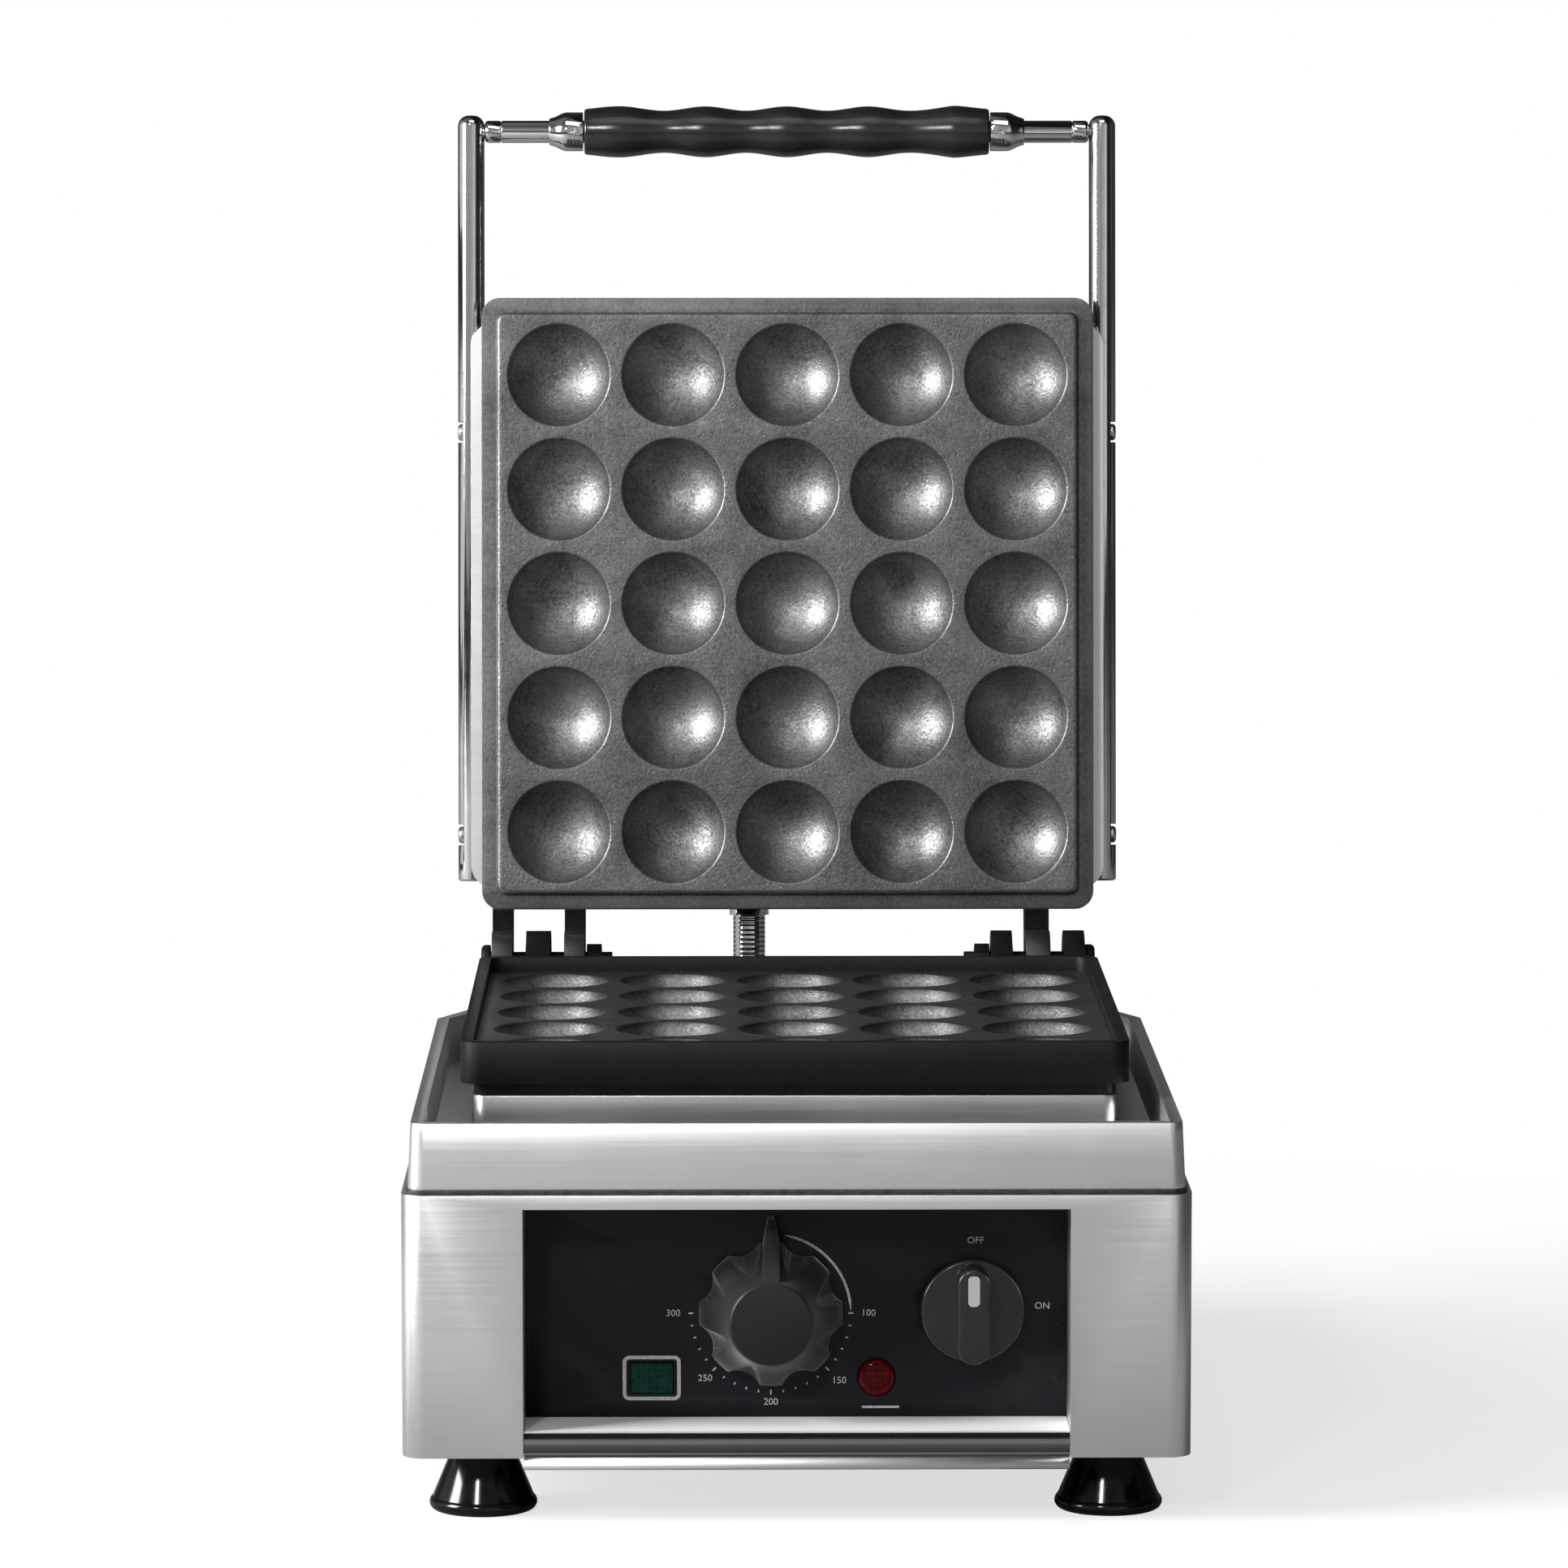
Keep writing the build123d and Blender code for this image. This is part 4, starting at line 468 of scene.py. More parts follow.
dial_reach, letter_height = 0.0311, 0.0027
arc_start, arc_sweep, arc_steps, arc_taper, half_line = 10, 78, 48, 5, 0.00050
arc_turns = [arc_start + arc_sweep * n / arc_steps for n in range(arc_steps + 1)]
arc_half = [half_line * min(1.0, (n + 1) / arc_taper, (arc_steps + 1 - n) / arc_taper)
            for n in range(arc_steps + 1)]
band([round_dial(t, dial_reach - w) for t, w in zip(arc_turns, arc_half)],
     [round_dial(t, dial_reach + w) for t, w in zip(arc_turns, arc_half)], "print_arc", False)
turn_per_heat = 0.9
for step in range(10, 31):
    tick_turn = step * 9.0
    half_length, half_turn = (0.0009, 0.55) if step % 5 == 0 else (0.0005, 0.45)
    near, far = dial_reach - half_length, dial_reach + half_length
    band([round_dial(tick_turn - half_turn, near), round_dial(tick_turn + half_turn, near)],
         [round_dial(tick_turn - half_turn, far), round_dial(tick_turn + half_turn, far)],
         "print_tick_%d" % step, False)
for heat, shift in ((100, 0.0380), (150, 0.0376), (200, 0.0350), (250, 0.0362), (300, 0.0380)):
    lettering(str(heat), *round_dial(heat * turn_per_heat, shift), letter_height)
lettering("OFF", 0.0698, 0.1059, letter_height)
lettering("ON", 0.0958, 0.0801, letter_height)
line_left, line_right, line_foot, line_top = 0.0257, 0.0402, 0.0399, 0.0408
band([(line_left, line_foot), (line_right, line_foot)], [(line_left, line_top), (line_right, line_top)],
     "print_lamp_line", False)


def rounded_frame(x, z, width, height, corner, per_corner=8):
    """Points of a rounded rectangle, anticlockwise from the right side's foot."""
    points = []
    for quarter, (sx, sz) in enumerate(((1, -1), (1, 1), (-1, 1), (-1, -1))):
        for n in range(per_corner + 1):
            angle = math.radians(-90 + 90 * quarter + 90 * n / per_corner)
            points.append((x + sx * (width / 2 - corner) + corner * math.cos(angle),
                           z + sz * (height / 2 - corner) + corner * math.sin(angle)))
    return points


lamp_centre = (-0.0562, 0.0519)
band(rounded_frame(*lamp_centre, 0.0198, 0.0148, 0.0012),
     rounded_frame(*lamp_centre, 0.0226, 0.0176, 0.0026), "print_lamp_frame", True)
for obj in prints:
    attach(obj, "base")

# Zinc-plated steel: the screws of the rear cover, rods, lid cover and feet, the studs and clamps of
# the heating elements, and the spindles of thermostat and switch.
zinc, tree, shader, spot = finish("ZincPlate", Metallic=1.0)
patches = handled(tree, spot, 420.0, 0.22, 0.42)
tone = blend_stops(tree, patches, [(0.22, (0.55, 0.55, 0.53)), (0.42, (0.40, 0.40, 0.38))])
tree.links.new(tone, shader.inputs["Base Color"])
tree.links.new(patches, shader.inputs["Roughness"])
for node in ("rear_screws", "rod_screws", "cover_screws"):
    eased(node, 0.00012, zinc)
for node in ("foot_screws", "lower_studs", "thermostat_spindle", "switch_spindle", "lower_clamp",
             "upper_clamp"):
    coat(frame["nodes"][node], zinc)

# Thermostat knob: satin black moulded phenolic, a fluted cone with eight lobes, a flat round cap and
# a long pointer; pushed on the thermostat's spindle.
knob_black, tree, shader, spot = finish("SatinPhenolic", Specular_IOR_Level=0.3, Sheen_Weight=0.35,
                                        Sheen_Roughness=0.4)
pores = place(tree, "ShaderNodeTexNoise", {"Vector": spot, "Scale": 3200.0, "Detail": 3.0})
patches = handled(tree, spot, 60.0, 0.44, 0.52)
shade = blend_stops(tree, pores.outputs["Fac"], [(0.35, 0.004), (0.65, 0.008)])
relief = place(tree, "ShaderNodeBump", {
    "Height": pores.outputs["Fac"], "Strength": 0.12, "Distance": 0.0001})
tree.links.new(shade, shader.inputs["Base Color"])
tree.links.new(patches, shader.inputs["Roughness"])
tree.links.new(relief.outputs["Normal"], shader.inputs["Normal"])
eased("thermostat_knob", 0.0005, knob_black)

# Selector knob: gloss black disc with a straight grip and an inlaid white tablet that points to
# OFF or ON.
gloss_black, tree, shader, spot = finish("GlossBlack", Specular_IOR_Level=0.45)
patches = handled(tree, spot, 45.0, 0.20, 0.26)
shade = blend_stops(tree, patches, [(0.20, 0.012), (0.26, 0.018)])
tree.links.new(shade, shader.inputs["Base Color"])
tree.links.new(patches, shader.inputs["Roughness"])
eased("switch_knob", 0.0004, gloss_black)

white_plastic, tree, shader, spot = finish("WhiteTablet", Roughness=0.35)
speck = place(tree, "ShaderNodeTexNoise", {"Vector": spot, "Scale": 900.0, "Detail": 2.0})
pale = blend_stops(tree, speck.outputs["Fac"], [(0.3, (0.42, 0.42, 0.43)), (0.7, (0.50, 0.50, 0.51))])
tree.links.new(pale, shader.inputs["Base Color"])
coat(frame["nodes"]["switch_marker"], white_plastic)

# Thermostat and switch behind the panel: glazed steatite and black moulded bodies with tab
# terminals.
glaze, tree, shader, spot = finish("Steatite", Roughness=0.3)
speck = place(tree, "ShaderNodeTexNoise", {"Vector": spot, "Scale": 500.0, "Detail": 4.0})
pale = blend_stops(tree, speck.outputs["Fac"], [(0.3, (0.66, 0.63, 0.55)), (0.7, (0.78, 0.76, 0.68))])
tree.links.new(pale, shader.inputs["Base Color"])
for node in ("thermostat_body", "terminal_block"):
    coat(frame["nodes"][node], glaze)
for node in ("switch_body", "green_lamp_holder", "red_lamp_holder"):
    coat(frame["nodes"][node], knob_black)


# Pilot lamps: clear green and red caps over small lamps, with moulded prisms on the inside that
# break up the light.
def lens(name, dark, bright):
    """Coloured lens plastic with facets that show through the surface."""
    material, tree, shader, spot = finish(name, Roughness=0.10, Specular_IOR_Level=0.10)
    cells = place(tree, "ShaderNodeTexVoronoi", {"Vector": spot, "Scale": 420.0, "Randomness": 0.35})
    # Partly painted: the hue is the cap's own; its dark-to-bright run over each facet is painted shading of
    # the prisms.
    depth = blend_stops(tree, cells.outputs["Distance"], [(0.1, dark), (0.75, bright)])
    relief = place(tree, "ShaderNodeBump", {
        "Height": cells.outputs["Distance"], "Strength": 0.18, "Distance": 0.0003})
    tree.links.new(depth, shader.inputs["Base Color"])
    tree.links.new(relief.outputs["Normal"], shader.inputs["Normal"])
    return material


eased("green_lamp", 0.0004, lens("GreenLens", (0.0005, 0.004, 0.003), (0.002, 0.042, 0.030)))
eased("red_lamp", 0.0004, lens("RedLens", (0.015, 0.0, 0.0003), (0.11, 0.001, 0.004)))

# Feet: turned rubber cones with a rounded base edge, each held by one screw through the base pan.
rubber, tree, shader, spot = finish("FootRubber", Specular_IOR_Level=0.32)
dust = place(tree, "ShaderNodeTexNoise", {"Vector": spot, "Scale": 260.0, "Detail": 5.0})
shade = blend_stops(tree, dust.outputs["Fac"], [(0.4, 0.002), (0.75, 0.005)])
dull = place(tree, "ShaderNodeMapRange", {"Value": dust.outputs["Fac"], "To Min": 0.10, "To Max": 0.18})
tree.links.new(shade, shader.inputs["Base Color"])
tree.links.new(dull.outputs["Result"], shader.inputs["Roughness"])
for node in ("foot_front_left", "foot_front_right", "foot_rear_left", "foot_rear_right"):
    coat(frame["nodes"][node], rubber)

# Rear cover and mains gland: a screwed stainless plate with punched vents; the gland is black
# nylon with a hexagon nut.
eased("rear_cover", 0.0003, sheet_steel, wide_flats=True)
eased("mains_gland", 0.0004, knob_black)

# Deck and pedestal: pressed stainless tray with a leaning skirt, of the housing's steel, and the box
# that lifts the lower plate off it, of a smoother steel painted darker: painted shade under the plate.
pedestal_painted_shade = brushed("TrayStainless", (0.38, 0.42), (0.22, 0.28), 900.0, 0.03)
eased("top_deck", 0.0009, sheet_steel)
eased("pedestal", 0.0008, pedestal_painted_shade)

# Shade strip: a thin black strip run round the foot of the deck's skirt, on the housing's top edge,
# as painted shade in the seam between the deck and the housing.
strip_lift, strip_rise, strip_proud, strip_sunk = 0.0001, 0.0017, 0.0007, 0.0010
deck_mesh = frame["nodes"]["top_deck"].data
deck_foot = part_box("top_deck")[0].z
foot_points = sorted({(round(vert.co.x, 5), round(vert.co.y, 5)) for vert in deck_mesh.vertices
                      if vert.co.z < deck_foot + strip_lift})
corners = geometry.convex_hull_2d([Vector(spot) for spot in foot_points])
outline = [Vector(foot_points[n]) for n in corners]
strip_section = ((-strip_sunk, 0.0), (strip_proud, 0.0), (strip_proud, 0.6), (0.6 * strip_proud, 1.0),
                (-strip_sunk, 1.0))
shape = bmesh.new()
rings = []
for out, rise in strip_section:
    ring = []
    for n, spot in enumerate(outline):
        along = (outline[(n + 1) % len(outline)] - spot).normalized() + (spot - outline[n - 1]).normalized()
        across = Vector((along.y, -along.x)).normalized()
        ring.append(shape.verts.new((*(spot + across * out), deck_foot + strip_lift + strip_rise * rise)))
    rings.append(ring)
for n, ring in enumerate(rings):
    above = rings[(n + 1) % len(rings)]
    for k in range(len(ring)):
        following = (k + 1) % len(ring)
        shape.faces.new((ring[k], ring[following], above[following], above[k]))
bmesh.ops.recalc_face_normals(shape, faces=shape.faces)
shade_strip_mesh = bpy.data.meshes.new("painted_shade_strip")
shape.to_mesh(shade_strip_mesh)
shape.free()
shade_strip = bpy.data.objects.new("painted_shade_strip", shade_strip_mesh)
bpy.context.scene.collection.objects.link(shade_strip)
# Near black with faint mottling: painted shade for the seam.
shade_strip_black, tree, shader, spot = finish("PaintedShadeBlack", Specular_IOR_Level=0.2, Roughness=0.5)
dust = place(tree, "ShaderNodeTexNoise", {"Vector": spot, "Scale": 300.0, "Detail": 4.0})
shade = blend_stops(tree, dust.outputs["Fac"], [(0.35, 0.020), (0.65, 0.045)])
tree.links.new(shade, shader.inputs["Base Color"])
coat(shade_strip, shade_strip_black)
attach(shade_strip, "base")

# Cooking plates: two sand castings in grey iron, seasoned nearly black, the lower with a raised
# rim and the upper with a plateau that drops inside it, each with five by five milled cups.
cast_group, given, result = open_group(
    "CastSkin", [("Vector", "NodeSocketVector", None), ("Grain", "NodeSocketFloat", 750.0)],
    [("Height", "NodeSocketFloat"), ("Mottle", "NodeSocketFloat"), ("Worn", "NodeSocketFloat")])
grit = place(cast_group, "ShaderNodeTexNoise", {
    "Vector": given.outputs["Vector"], "Scale": given.outputs["Grain"], "Detail": 3.0, "Roughness": 0.7})
pits = place(cast_group, "ShaderNodeTexVoronoi", {"Vector": given.outputs["Vector"], "Scale": 520.0})
pits = place(cast_group, "ShaderNodeMapRange", {"Value": pits.outputs["Distance"], "From Max": 0.35})
rough_skin = place(cast_group, "ShaderNodeMath", {
    0: pits.outputs["Result"], 1: 0.5, 2: grit.outputs["Fac"]}, operation="MULTIPLY_ADD")
stain = place(cast_group, "ShaderNodeTexNoise", {
    "Vector": given.outputs["Vector"], "Scale": 38.0, "Detail": 6.0, "Roughness": 0.66, "Distortion": 0.6})
mixed = place(cast_group, "ShaderNodeMath", {
    0: grit.outputs["Fac"], 1: 1.1, 2: stain.outputs["Fac"]}, operation="MULTIPLY_ADD")
mixed = place(cast_group, "ShaderNodeMapRange", {
    "Value": mixed.outputs[0], "From Min": 0.75, "From Max": 1.35})
sharpness = place(cast_group, "ShaderNodeNewGeometry").outputs["Pointiness"]
edges = place(cast_group, "ShaderNodeMapRange", {"Value": sharpness, "From Min": 0.51, "From Max": 0.58})
edges = place(cast_group, "ShaderNodeMath", {0: edges.outputs["Result"], 1: stain.outputs["Fac"]},
              operation="MULTIPLY")
cast_group.links.new(rough_skin.outputs[0], result.inputs["Height"])
cast_group.links.new(mixed.outputs["Result"], result.inputs["Mottle"])
cast_group.links.new(edges.outputs[0], result.inputs["Worn"])


def cast_iron(name, dark, light, rough, depth, bare, under=None):
    """Seasoned iron: dark and light are its two tones, rough is (worn, dry), depth the skin's relief
    and bare the tone of rubbed edges. With under, which is (axis, level, fade, dark, light), it takes
    two other tones below a level on an axis."""
    material, tree, shader, spot = finish(name, Metallic=0.85, Specular_IOR_Level=0.4)
    skin = place(tree, "ShaderNodeGroup", {"Vector": spot}, node_tree=cast_group)
    tone = blend_stops(tree, skin.outputs["Mottle"], [(0.0, dark), (1.0, light)])
    if under:
        axis, level, fade, low, high = under
        along = place(tree, "ShaderNodeVectorMath", {0: spot, 1: axis}, operation="DOT_PRODUCT")
        below = place(tree, "ShaderNodeMapRange", {
            "Value": along.outputs["Value"], "From Min": level, "From Max": level - fade})
        other = blend_stops(tree, skin.outputs["Mottle"], [(0.0, low), (1.0, high)])
        tone = place(tree, "ShaderNodeMix", {
            0: below.outputs["Result"], 6: tone, 7: other}, data_type="RGBA").outputs[2]
    worn = place(tree, "ShaderNodeMix", {6: tone, 7: (bare, bare, bare, 1.0)}, data_type="RGBA")
    tree.links.new(skin.outputs["Worn"], worn.inputs[0])
    gloss = place(tree, "ShaderNodeMapRange", {
        "Value": skin.outputs["Mottle"], "To Min": rough[1], "To Max": rough[0]})
    relief = place(tree, "ShaderNodeBump", {
        "Height": skin.outputs["Height"], "Strength": depth, "Distance": 0.0002})
    tree.links.new(worn.outputs[2], shader.inputs["Base Color"])
    tree.links.new(gloss.outputs["Result"], shader.inputs["Roughness"])
    tree.links.new(relief.outputs["Normal"], shader.inputs["Normal"])
    return material


hinge = Vector(next(j["pos_m"] for j in frame["joints"] if j["name"] == "lid_hinge"))
open_angle = 96.0
beside_hinge = Matrix.Translation(hinge)
open_lid = Matrix.Translation(hinge) @ Matrix.Rotation(math.radians(-open_angle), 4, "X")
plate_middle = -0.1535
lower_face, upper_face = -0.0010, 0.0025
cup_count, cup_pitch, cup_radius, cup_depth = 5, 0.0491, 0.0220, 0.0140
lip_radius = 0.0011
ball_radius = (cup_radius ** 2 + cup_depth ** 2) / (2 * cup_depth)
block_reach = cup_count * cup_pitch / 2
lower_seat = beside_hinge @ Matrix.Translation((0.0, plate_middle, lower_face))
upper_seat = open_lid @ Matrix.Translation((0.0, plate_middle, upper_face))
upper_seat = upper_seat @ Matrix.Rotation(math.pi, 4, "X")
lower_out, upper_out = lower_seat.to_3x3().col[2].copy(), upper_seat.to_3x3().col[2].copy()
lower_level, upper_level = lower_out.dot(lower_seat.translation), upper_out.dot(upper_seat.translation)

upright, tongue_top, tongue_fade = Vector((0.0, 0.0, 1.0)), 0.1965, 0.0015
lip_drop, cup_fade = 0.0004, 0.0030
cast_side = cast_iron("CastSide", 0.012, 0.020, (0.52, 0.60), 0.30, 0.020)
cast_flange = cast_iron("CastFlange", 0.062, (0.155, 0.155, 0.153), (0.48, 0.58), 0.40, 0.16,
                        (upright, tongue_top, tongue_fade, 0.003, 0.010))
# Painted light: inside the cups both faces take lighter tones than on the flat, to brighten their lit
# walls.
milled_face = cast_iron("MilledFace", 0.066, (0.200, 0.198, 0.195), (0.40, 0.50), 0.80, 0.22,
                        (upper_out, upper_level - lip_drop, cup_fade, 0.06, (0.31, 0.309, 0.306)))
baked_face = cast_iron("BakedFace", 0.030, (0.095, 0.094, 0.092), (0.40, 0.50), 0.70, 0.12,
                       (lower_out, lower_level - lip_drop, cup_fade, 0.09, (0.34, 0.339, 0.336)))


def cup_cell():
    """One cup with its rounded lip in a square of flat face, hollow side up."""
    ball_rise = ball_radius - cup_depth
    lip_centre = math.sqrt((ball_radius + lip_radius) ** 2 - (ball_rise + lip_radius) ** 2)
    lip_lean = math.atan2(lip_centre, ball_rise + lip_radius)
    rings = [(ball_radius * math.sin(lip_lean * n / 12),
              ball_rise - ball_radius * math.cos(lip_lean * n / 12)) for n in range(1, 13)]
    rings += [(lip_centre - lip_radius * math.sin(lip_lean * (1 - n / 5)),
               lip_radius * (math.cos(lip_lean * (1 - n / 5)) - 1)) for n in range(1, 6)]
    side = 16
    half = cup_pitch / 2
    square = [(half, -half + k * cup_pitch / side) for k in range(side)]
    square += [(half - k * cup_pitch / side, half) for k in range(side)]
    square += [(-half, half - k * cup_pitch / side) for k in range(side)]
    square += [(-half + k * cup_pitch / side, -half) for k in range(side)]
    shape = bmesh.new()
    loops = []
    for radius, height in rings:
        loops.append([
            shape.verts.new((radius * x / math.hypot(x, y), radius * y / math.hypot(x, y), height))
            for x, y in square])
    loops.append([shape.verts.new((x, y, 0.0)) for x, y in square])
    bottom = shape.verts.new((0.0, 0.0, -cup_depth))
    count = len(square)
    for k in range(count):
        shape.faces.new((bottom, loops[0][k], loops[0][(k + 1) % count]))
        for inner, outer in zip(loops, loops[1:]):
            shape.faces.new((inner[k], outer[k], outer[(k + 1) % count], inner[(k + 1) % count]))
    mesh = bpy.data.meshes.new("cup_cell")
    shape.to_mesh(mesh)
    shape.free()
    mesh.polygons.foreach_set("use_smooth", [True] * len(mesh.polygons))
    return mesh


def rows_of_cups(material):
    """Geometry Nodes that lay one cup out in a square block and weld the cells together."""
    tree = bpy.data.node_groups.new("RowsOfCups", "GeometryNodeTree")
    tree.interface.new_socket(name="Cup", in_out="INPUT", socket_type="NodeSocketGeometry")
    tree.interface.new_socket(name="Cups a side", in_out="INPUT", socket_type="NodeSocketInt")
    tree.interface.new_socket(name="Pitch", in_out="INPUT", socket_type="NodeSocketFloat")
    tree.interface.new_socket(name="Sheet", in_out="OUTPUT", socket_type="NodeSocketGeometry")
    given = tree.nodes.new("NodeGroupInput")
    gaps = place(tree, "ShaderNodeMath", {0: given.outputs["Cups a side"], 1: 1.0}, operation="SUBTRACT")
    span = place(tree, "ShaderNodeMath", {0: gaps.outputs[0], 1: given.outputs["Pitch"]},
                 operation="MULTIPLY")
    grid = place(tree, "GeometryNodeMeshGrid", {
        "Size X": span.outputs[0], "Size Y": span.outputs[0], "Vertices X": given.outputs["Cups a side"],
        "Vertices Y": given.outputs["Cups a side"]})
    cups = place(tree, "GeometryNodeInstanceOnPoints", {
        "Points": grid.outputs["Mesh"], "Instance": given.outputs["Cup"]})
    real = place(tree, "GeometryNodeRealizeInstances", {"Geometry": cups.outputs["Instances"]})
    welded = place(tree, "GeometryNodeMergeByDistance", {
        "Geometry": real.outputs["Geometry"], "Distance": 0.00001})
    made = place(tree, "GeometryNodeSetMaterial", {"Geometry": welded.outputs["Geometry"]})
    made.inputs["Material"].default_value = material
    place(tree, "NodeGroupOutput", {"Sheet": made.outputs["Geometry"]})
    return tree


def made_by(obj, tree, values):
    """The mesh that a Geometry Nodes tree makes of an object, with its named inputs set."""
    nodes = obj.modifiers.new("made", "NODES")
    nodes.node_group = tree
    for label, value in values.items():
        nodes[tree.interface.items_tree[label].identifier] = value
    bpy.context.view_layer.update()
    mesh = bpy.data.meshes.new_from_object(obj.evaluated_get(bpy.context.evaluated_depsgraph_get()))
    bpy.data.objects.remove(obj)
    return mesh


def to_border(spot, reach, corner):
    """Where a point of the cup block's edge goes on a rounded square that reaches so far each way."""
    x, y = spot.x * reach / block_reach, spot.y * reach / block_reach
    over_x, over_y = abs(x) - (reach - corner), abs(y) - (reach - corner)
    if over_x > 0 and over_y > 0:
        stretch = corner / math.hypot(over_x, over_y)
        x = math.copysign(reach - corner + over_x * stretch, x)
        y = math.copysign(reach - corner + over_y * stretch, y)
    return x, y


def cup_face(name, body, material, seat, borders):
    """The milled face of a plate: a block of cups inside border rings of (reach, corner, height)."""
    cell = bpy.data.objects.new(name, cup_cell())
    bpy.context.scene.collection.objects.link(cell)
    mesh = made_by(cell, rows_of_cups(material), {"Cups a side": cup_count, "Pitch": cup_pitch})
    shape = bmesh.new()
    shape.from_mesh(mesh)
    rim = [vert for vert in shape.verts if vert.is_boundary]
    rim.sort(key=lambda vert: math.atan2(vert.co.y, vert.co.x))
    start = [vert.co.copy() for vert in rim]
    for reach, corner, height in borders:
        ring = [shape.verts.new((*to_border(spot, reach, corner), height)) for spot in start]
        for k in range(len(ring)):
            following = (k + 1) % len(ring)
            shape.faces.new((rim[k], ring[k], ring[following], rim[following])).smooth = True
        rim = ring
    shape.to_mesh(mesh)
    shape.free()
    mesh.transform(seat)
    mesh.polygons.foreach_set("material_index", [0] * len(mesh.polygons))
    sheet = bpy.data.objects.new(name, mesh)
    bpy.context.scene.collection.objects.link(sheet)
    coat(sheet, material)
    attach(sheet, body)


def in_cup_face(seat, reach):
    """A test for points on a plate's flat face, out to reach, or in one of its cups."""
    to_face = seat.inverted()
    flat_slack, edge_slack, ball_slack = 0.00002, 0.0001, 0.00004

    def tested(spot):
        spot = to_face @ spot
        if abs(spot.z) < flat_slack:
            return max(abs(spot.x), abs(spot.y)) < reach + edge_slack
        column, row = round(spot.x / cup_pitch), round(spot.y / cup_pitch)
        ball = Vector((column * cup_pitch, row * cup_pitch, ball_radius - cup_depth))
        in_grid = max(abs(column), abs(row)) <= cup_count // 2
        return spot.z < 0 and in_grid and abs((spot - ball).length - ball_radius) < ball_slack
    return tested


casting_edge, casting_corner = 0.0005, 35.0
lower_cut, upper_cut = 0.1265, 0.1251
edge_roll, upper_reach, upper_corner = 0.0020, 0.12513, 0.0040
eased("lower_plate", casting_edge, cast_side, casting_corner,
      in_cup_face(lower_seat, lower_cut))
eased("upper_plate", casting_edge, cast_flange, casting_corner,
      in_cup_face(upper_seat, upper_cut), upper_seat.to_3x3() @ Vector((0.0, 0.0, -edge_roll)))
cup_face("lower_cups", "base", baked_face, lower_seat, [(0.12605, 0.0046, 0.0), (0.12652, 0.0050, 0.00015)])
rolled_edge = []
for n in range(5):
    angle = math.radians(22.5 * n)
    inset = edge_roll * (1 - math.sin(angle))
    rolled_edge.append((upper_reach - inset, upper_corner - inset, edge_roll * (math.cos(angle) - 1)))
cup_face("upper_cups", "lid", milled_face, upper_seat, rolled_edge)
for node in ("hinge_bolt_left", "hinge_bolt_right", "hinge_nut_left", "hinge_nut_right"):
    eased(node, 0.0004, cast_side)

# Heating elements and boards: heat-darkened steel tubes clamped behind the cups over pressed
# fibre board.
element_steel = brushed("HeatedSteel", (0.13, 0.22), (0.35, 0.5), 300.0, 0.2)
for node in ("lower_element", "upper_element"):
    coat(frame["nodes"][node], element_steel)
fibre, tree, shader, spot = finish("FibreBoard", Roughness=0.9)
strands = place(tree, "ShaderNodeTexNoise", {
    "Vector": spot, "Scale": 240.0, "Detail": 7.0, "Distortion": 1.2})
pale = blend_stops(tree, strands.outputs["Fac"], [(0.3, (0.55, 0.51, 0.42)), (0.7, (0.76, 0.73, 0.65))])
relief = place(tree, "ShaderNodeBump", {
    "Height": strands.outputs["Fac"], "Strength": 0.5, "Distance": 0.0004})
tree.links.new(pale, shader.inputs["Base Color"])
tree.links.new(relief.outputs["Normal"], shader.inputs["Normal"])
for node in ("lower_insulation", "upper_insulation"):
    coat(frame["nodes"][node], fibre)

# Lid cover: a pressed stainless pan over the lid's element, screwed to the upper plate's back.
eased("lid_cover", 0.0004, sheet_steel, wide_flats=True)

# Side rods, handle bar, ferrules and conduit fittings: bright chrome on turned steel.
chrome, tree, shader, spot = finish("BrightChrome", Metallic=1.0, Roughness=0.07)
patches = handled(tree, spot, 120.0, 0.05, 0.12)
tone = blend_stops(tree, patches, [(0.05, (0.60, 0.60, 0.61)), (0.12, (0.52, 0.52, 0.53))])
tree.links.new(tone, shader.inputs["Base Color"])
tree.links.new(patches, shader.inputs["Roughness"])
for node in ("side_rod_left", "side_rod_right", "handle_bar", "ferrule_left", "ferrule_right",
             "conduit_elbow", "lid_gland"):
    eased(node, 0.0003, chrome)
coat(frame["nodes"]["set_screws"], zinc)

# Conduit: a flexible hose of wound steel strip that carries the lid heater's wires past the hinge,
# screwed into the elbow on the body and the gland on the lid.
hose_radius, rib_pitch, rib_depth = 0.00698, 0.0020, 0.00014
conduit_x, elbow_y, hose_pull = -0.0165, 0.1793, 0.04
gland_y, gland_rise = -0.0190, 0.0405
hose_foot = Vector((conduit_x, elbow_y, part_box("conduit")[0].z))
hose_head = open_lid @ Vector((conduit_x, gland_y, gland_rise))
lid_way = open_lid.to_3x3() @ Vector((0.0, -1.0, 0.0))


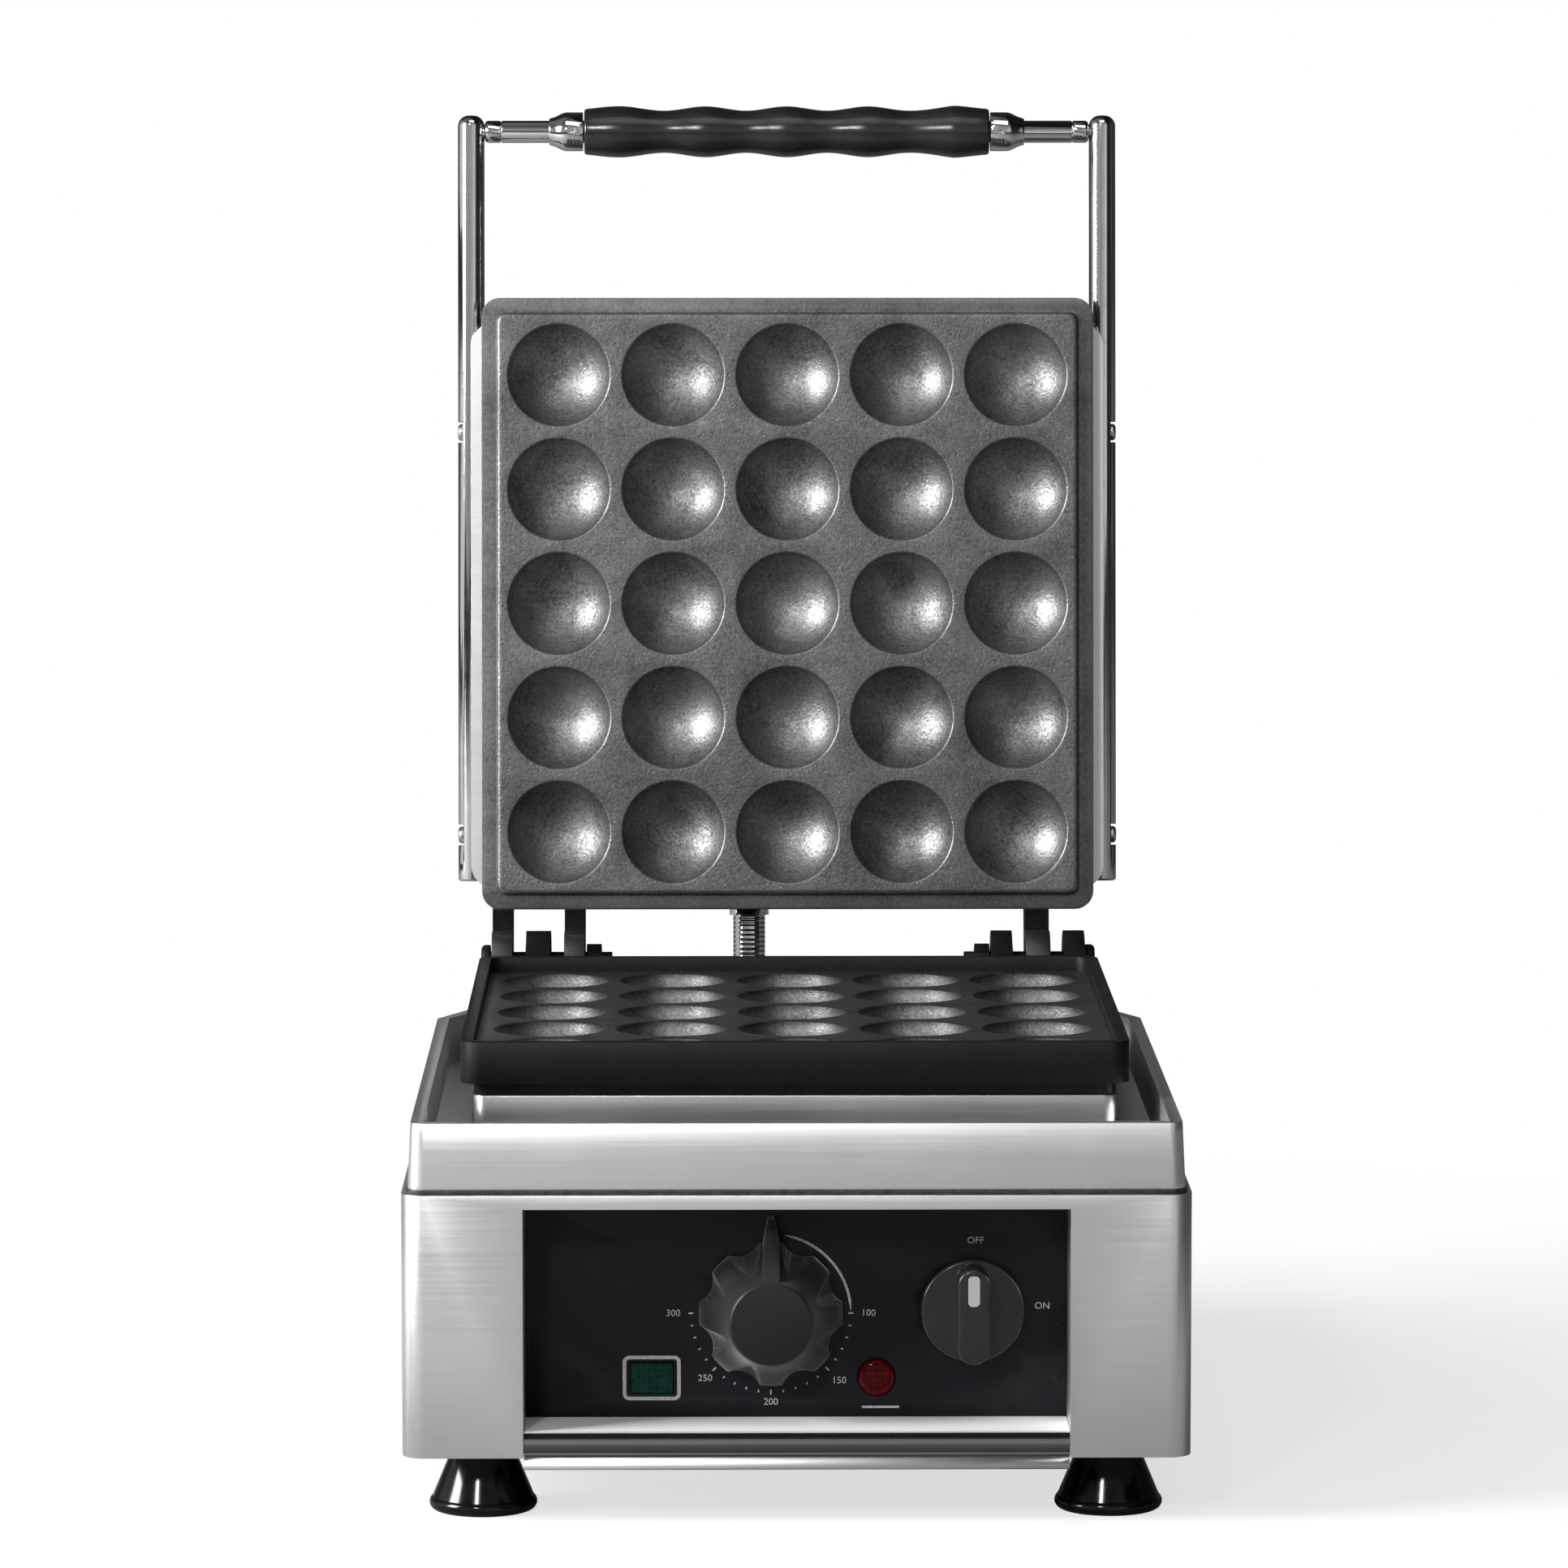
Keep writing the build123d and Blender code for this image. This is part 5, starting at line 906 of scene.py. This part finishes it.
def wound_hose(material):
    """Geometry Nodes that sweep a circle along a curve and narrow it between the turns of the strip."""
    tree = bpy.data.node_groups.new("WoundHose", "GeometryNodeTree")
    tree.interface.new_socket(name="Route", in_out="INPUT", socket_type="NodeSocketGeometry")
    for label in ("Radius", "Rib pitch", "Rib depth"):
        tree.interface.new_socket(name=label, in_out="INPUT", socket_type="NodeSocketFloat")
    tree.interface.new_socket(name="Hose", in_out="OUTPUT", socket_type="NodeSocketGeometry")
    given = tree.nodes.new("NodeGroupInput")
    step = place(tree, "ShaderNodeMath", {0: given.outputs["Rib pitch"], 1: 8.0}, operation="DIVIDE")
    route = place(tree, "GeometryNodeResampleCurve", {
        "Curve": given.outputs["Route"], "Length": step.outputs[0]}, mode="LENGTH")
    along = place(tree, "GeometryNodeSplineParameter")
    turns = place(tree, "ShaderNodeMath", {0: along.outputs["Length"], 1: given.outputs["Rib pitch"]},
                  operation="DIVIDE")
    turns = place(tree, "ShaderNodeMath", {0: turns.outputs[0], 1: 2 * math.pi}, operation="MULTIPLY")
    wave = place(tree, "ShaderNodeMath", {0: turns.outputs[0]}, operation="COSINE")
    wave = place(tree, "ShaderNodeMath", {0: wave.outputs[0], 1: -0.5, 2: 0.5}, operation="MULTIPLY_ADD")
    hollow = place(tree, "ShaderNodeMath", {0: wave.outputs[0], 1: given.outputs["Rib depth"]},
                   operation="MULTIPLY")
    width = place(tree, "ShaderNodeMath", {0: given.outputs["Radius"], 1: hollow.outputs[0]},
                  operation="SUBTRACT")
    ring = place(tree, "GeometryNodeCurvePrimitiveCircle", {"Resolution": 32, "Radius": 1.0})
    swept = place(tree, "GeometryNodeCurveToMesh", {
        "Curve": route.outputs["Curve"], "Profile Curve": ring.outputs["Curve"], "Scale": width.outputs[0],
        "Fill Caps": True})
    made = place(tree, "GeometryNodeSetMaterial", {"Geometry": swept.outputs["Mesh"]})
    made.inputs["Material"].default_value = material
    place(tree, "NodeGroupOutput", {"Hose": made.outputs["Geometry"]})
    return tree


line = bpy.data.curves.new("hose_route", "CURVE")
line.dimensions = "3D"
line.resolution_u = 24
bend = line.splines.new("BEZIER")
bend.bezier_points.add(1)
for point, at, way in zip(bend.bezier_points, (hose_foot, hose_head), (Vector((0.0, 0.0, 1.0)), lid_way)):
    point.co = at
    point.handle_left_type = point.handle_right_type = "FREE"
    point.handle_left = at - way * hose_pull
    point.handle_right = at + way * hose_pull
route = bpy.data.objects.new("hose_route", line)
bpy.context.scene.collection.objects.link(route)
hose_mesh = made_by(route, wound_hose(chrome), {
    "Radius": hose_radius, "Rib pitch": rib_pitch, "Rib depth": rib_depth})
hose_mesh.polygons.foreach_set("use_smooth", [True] * len(hose_mesh.polygons))
hose = bpy.data.objects.new("conduit_hose", hose_mesh)
bpy.context.scene.collection.objects.link(hose)
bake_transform(hose)
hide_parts("conduit")

# Handle grip: turned black phenolic with five swellings, free to spin on the bar.
eased("handle_grip", 0.0004, gloss_black)
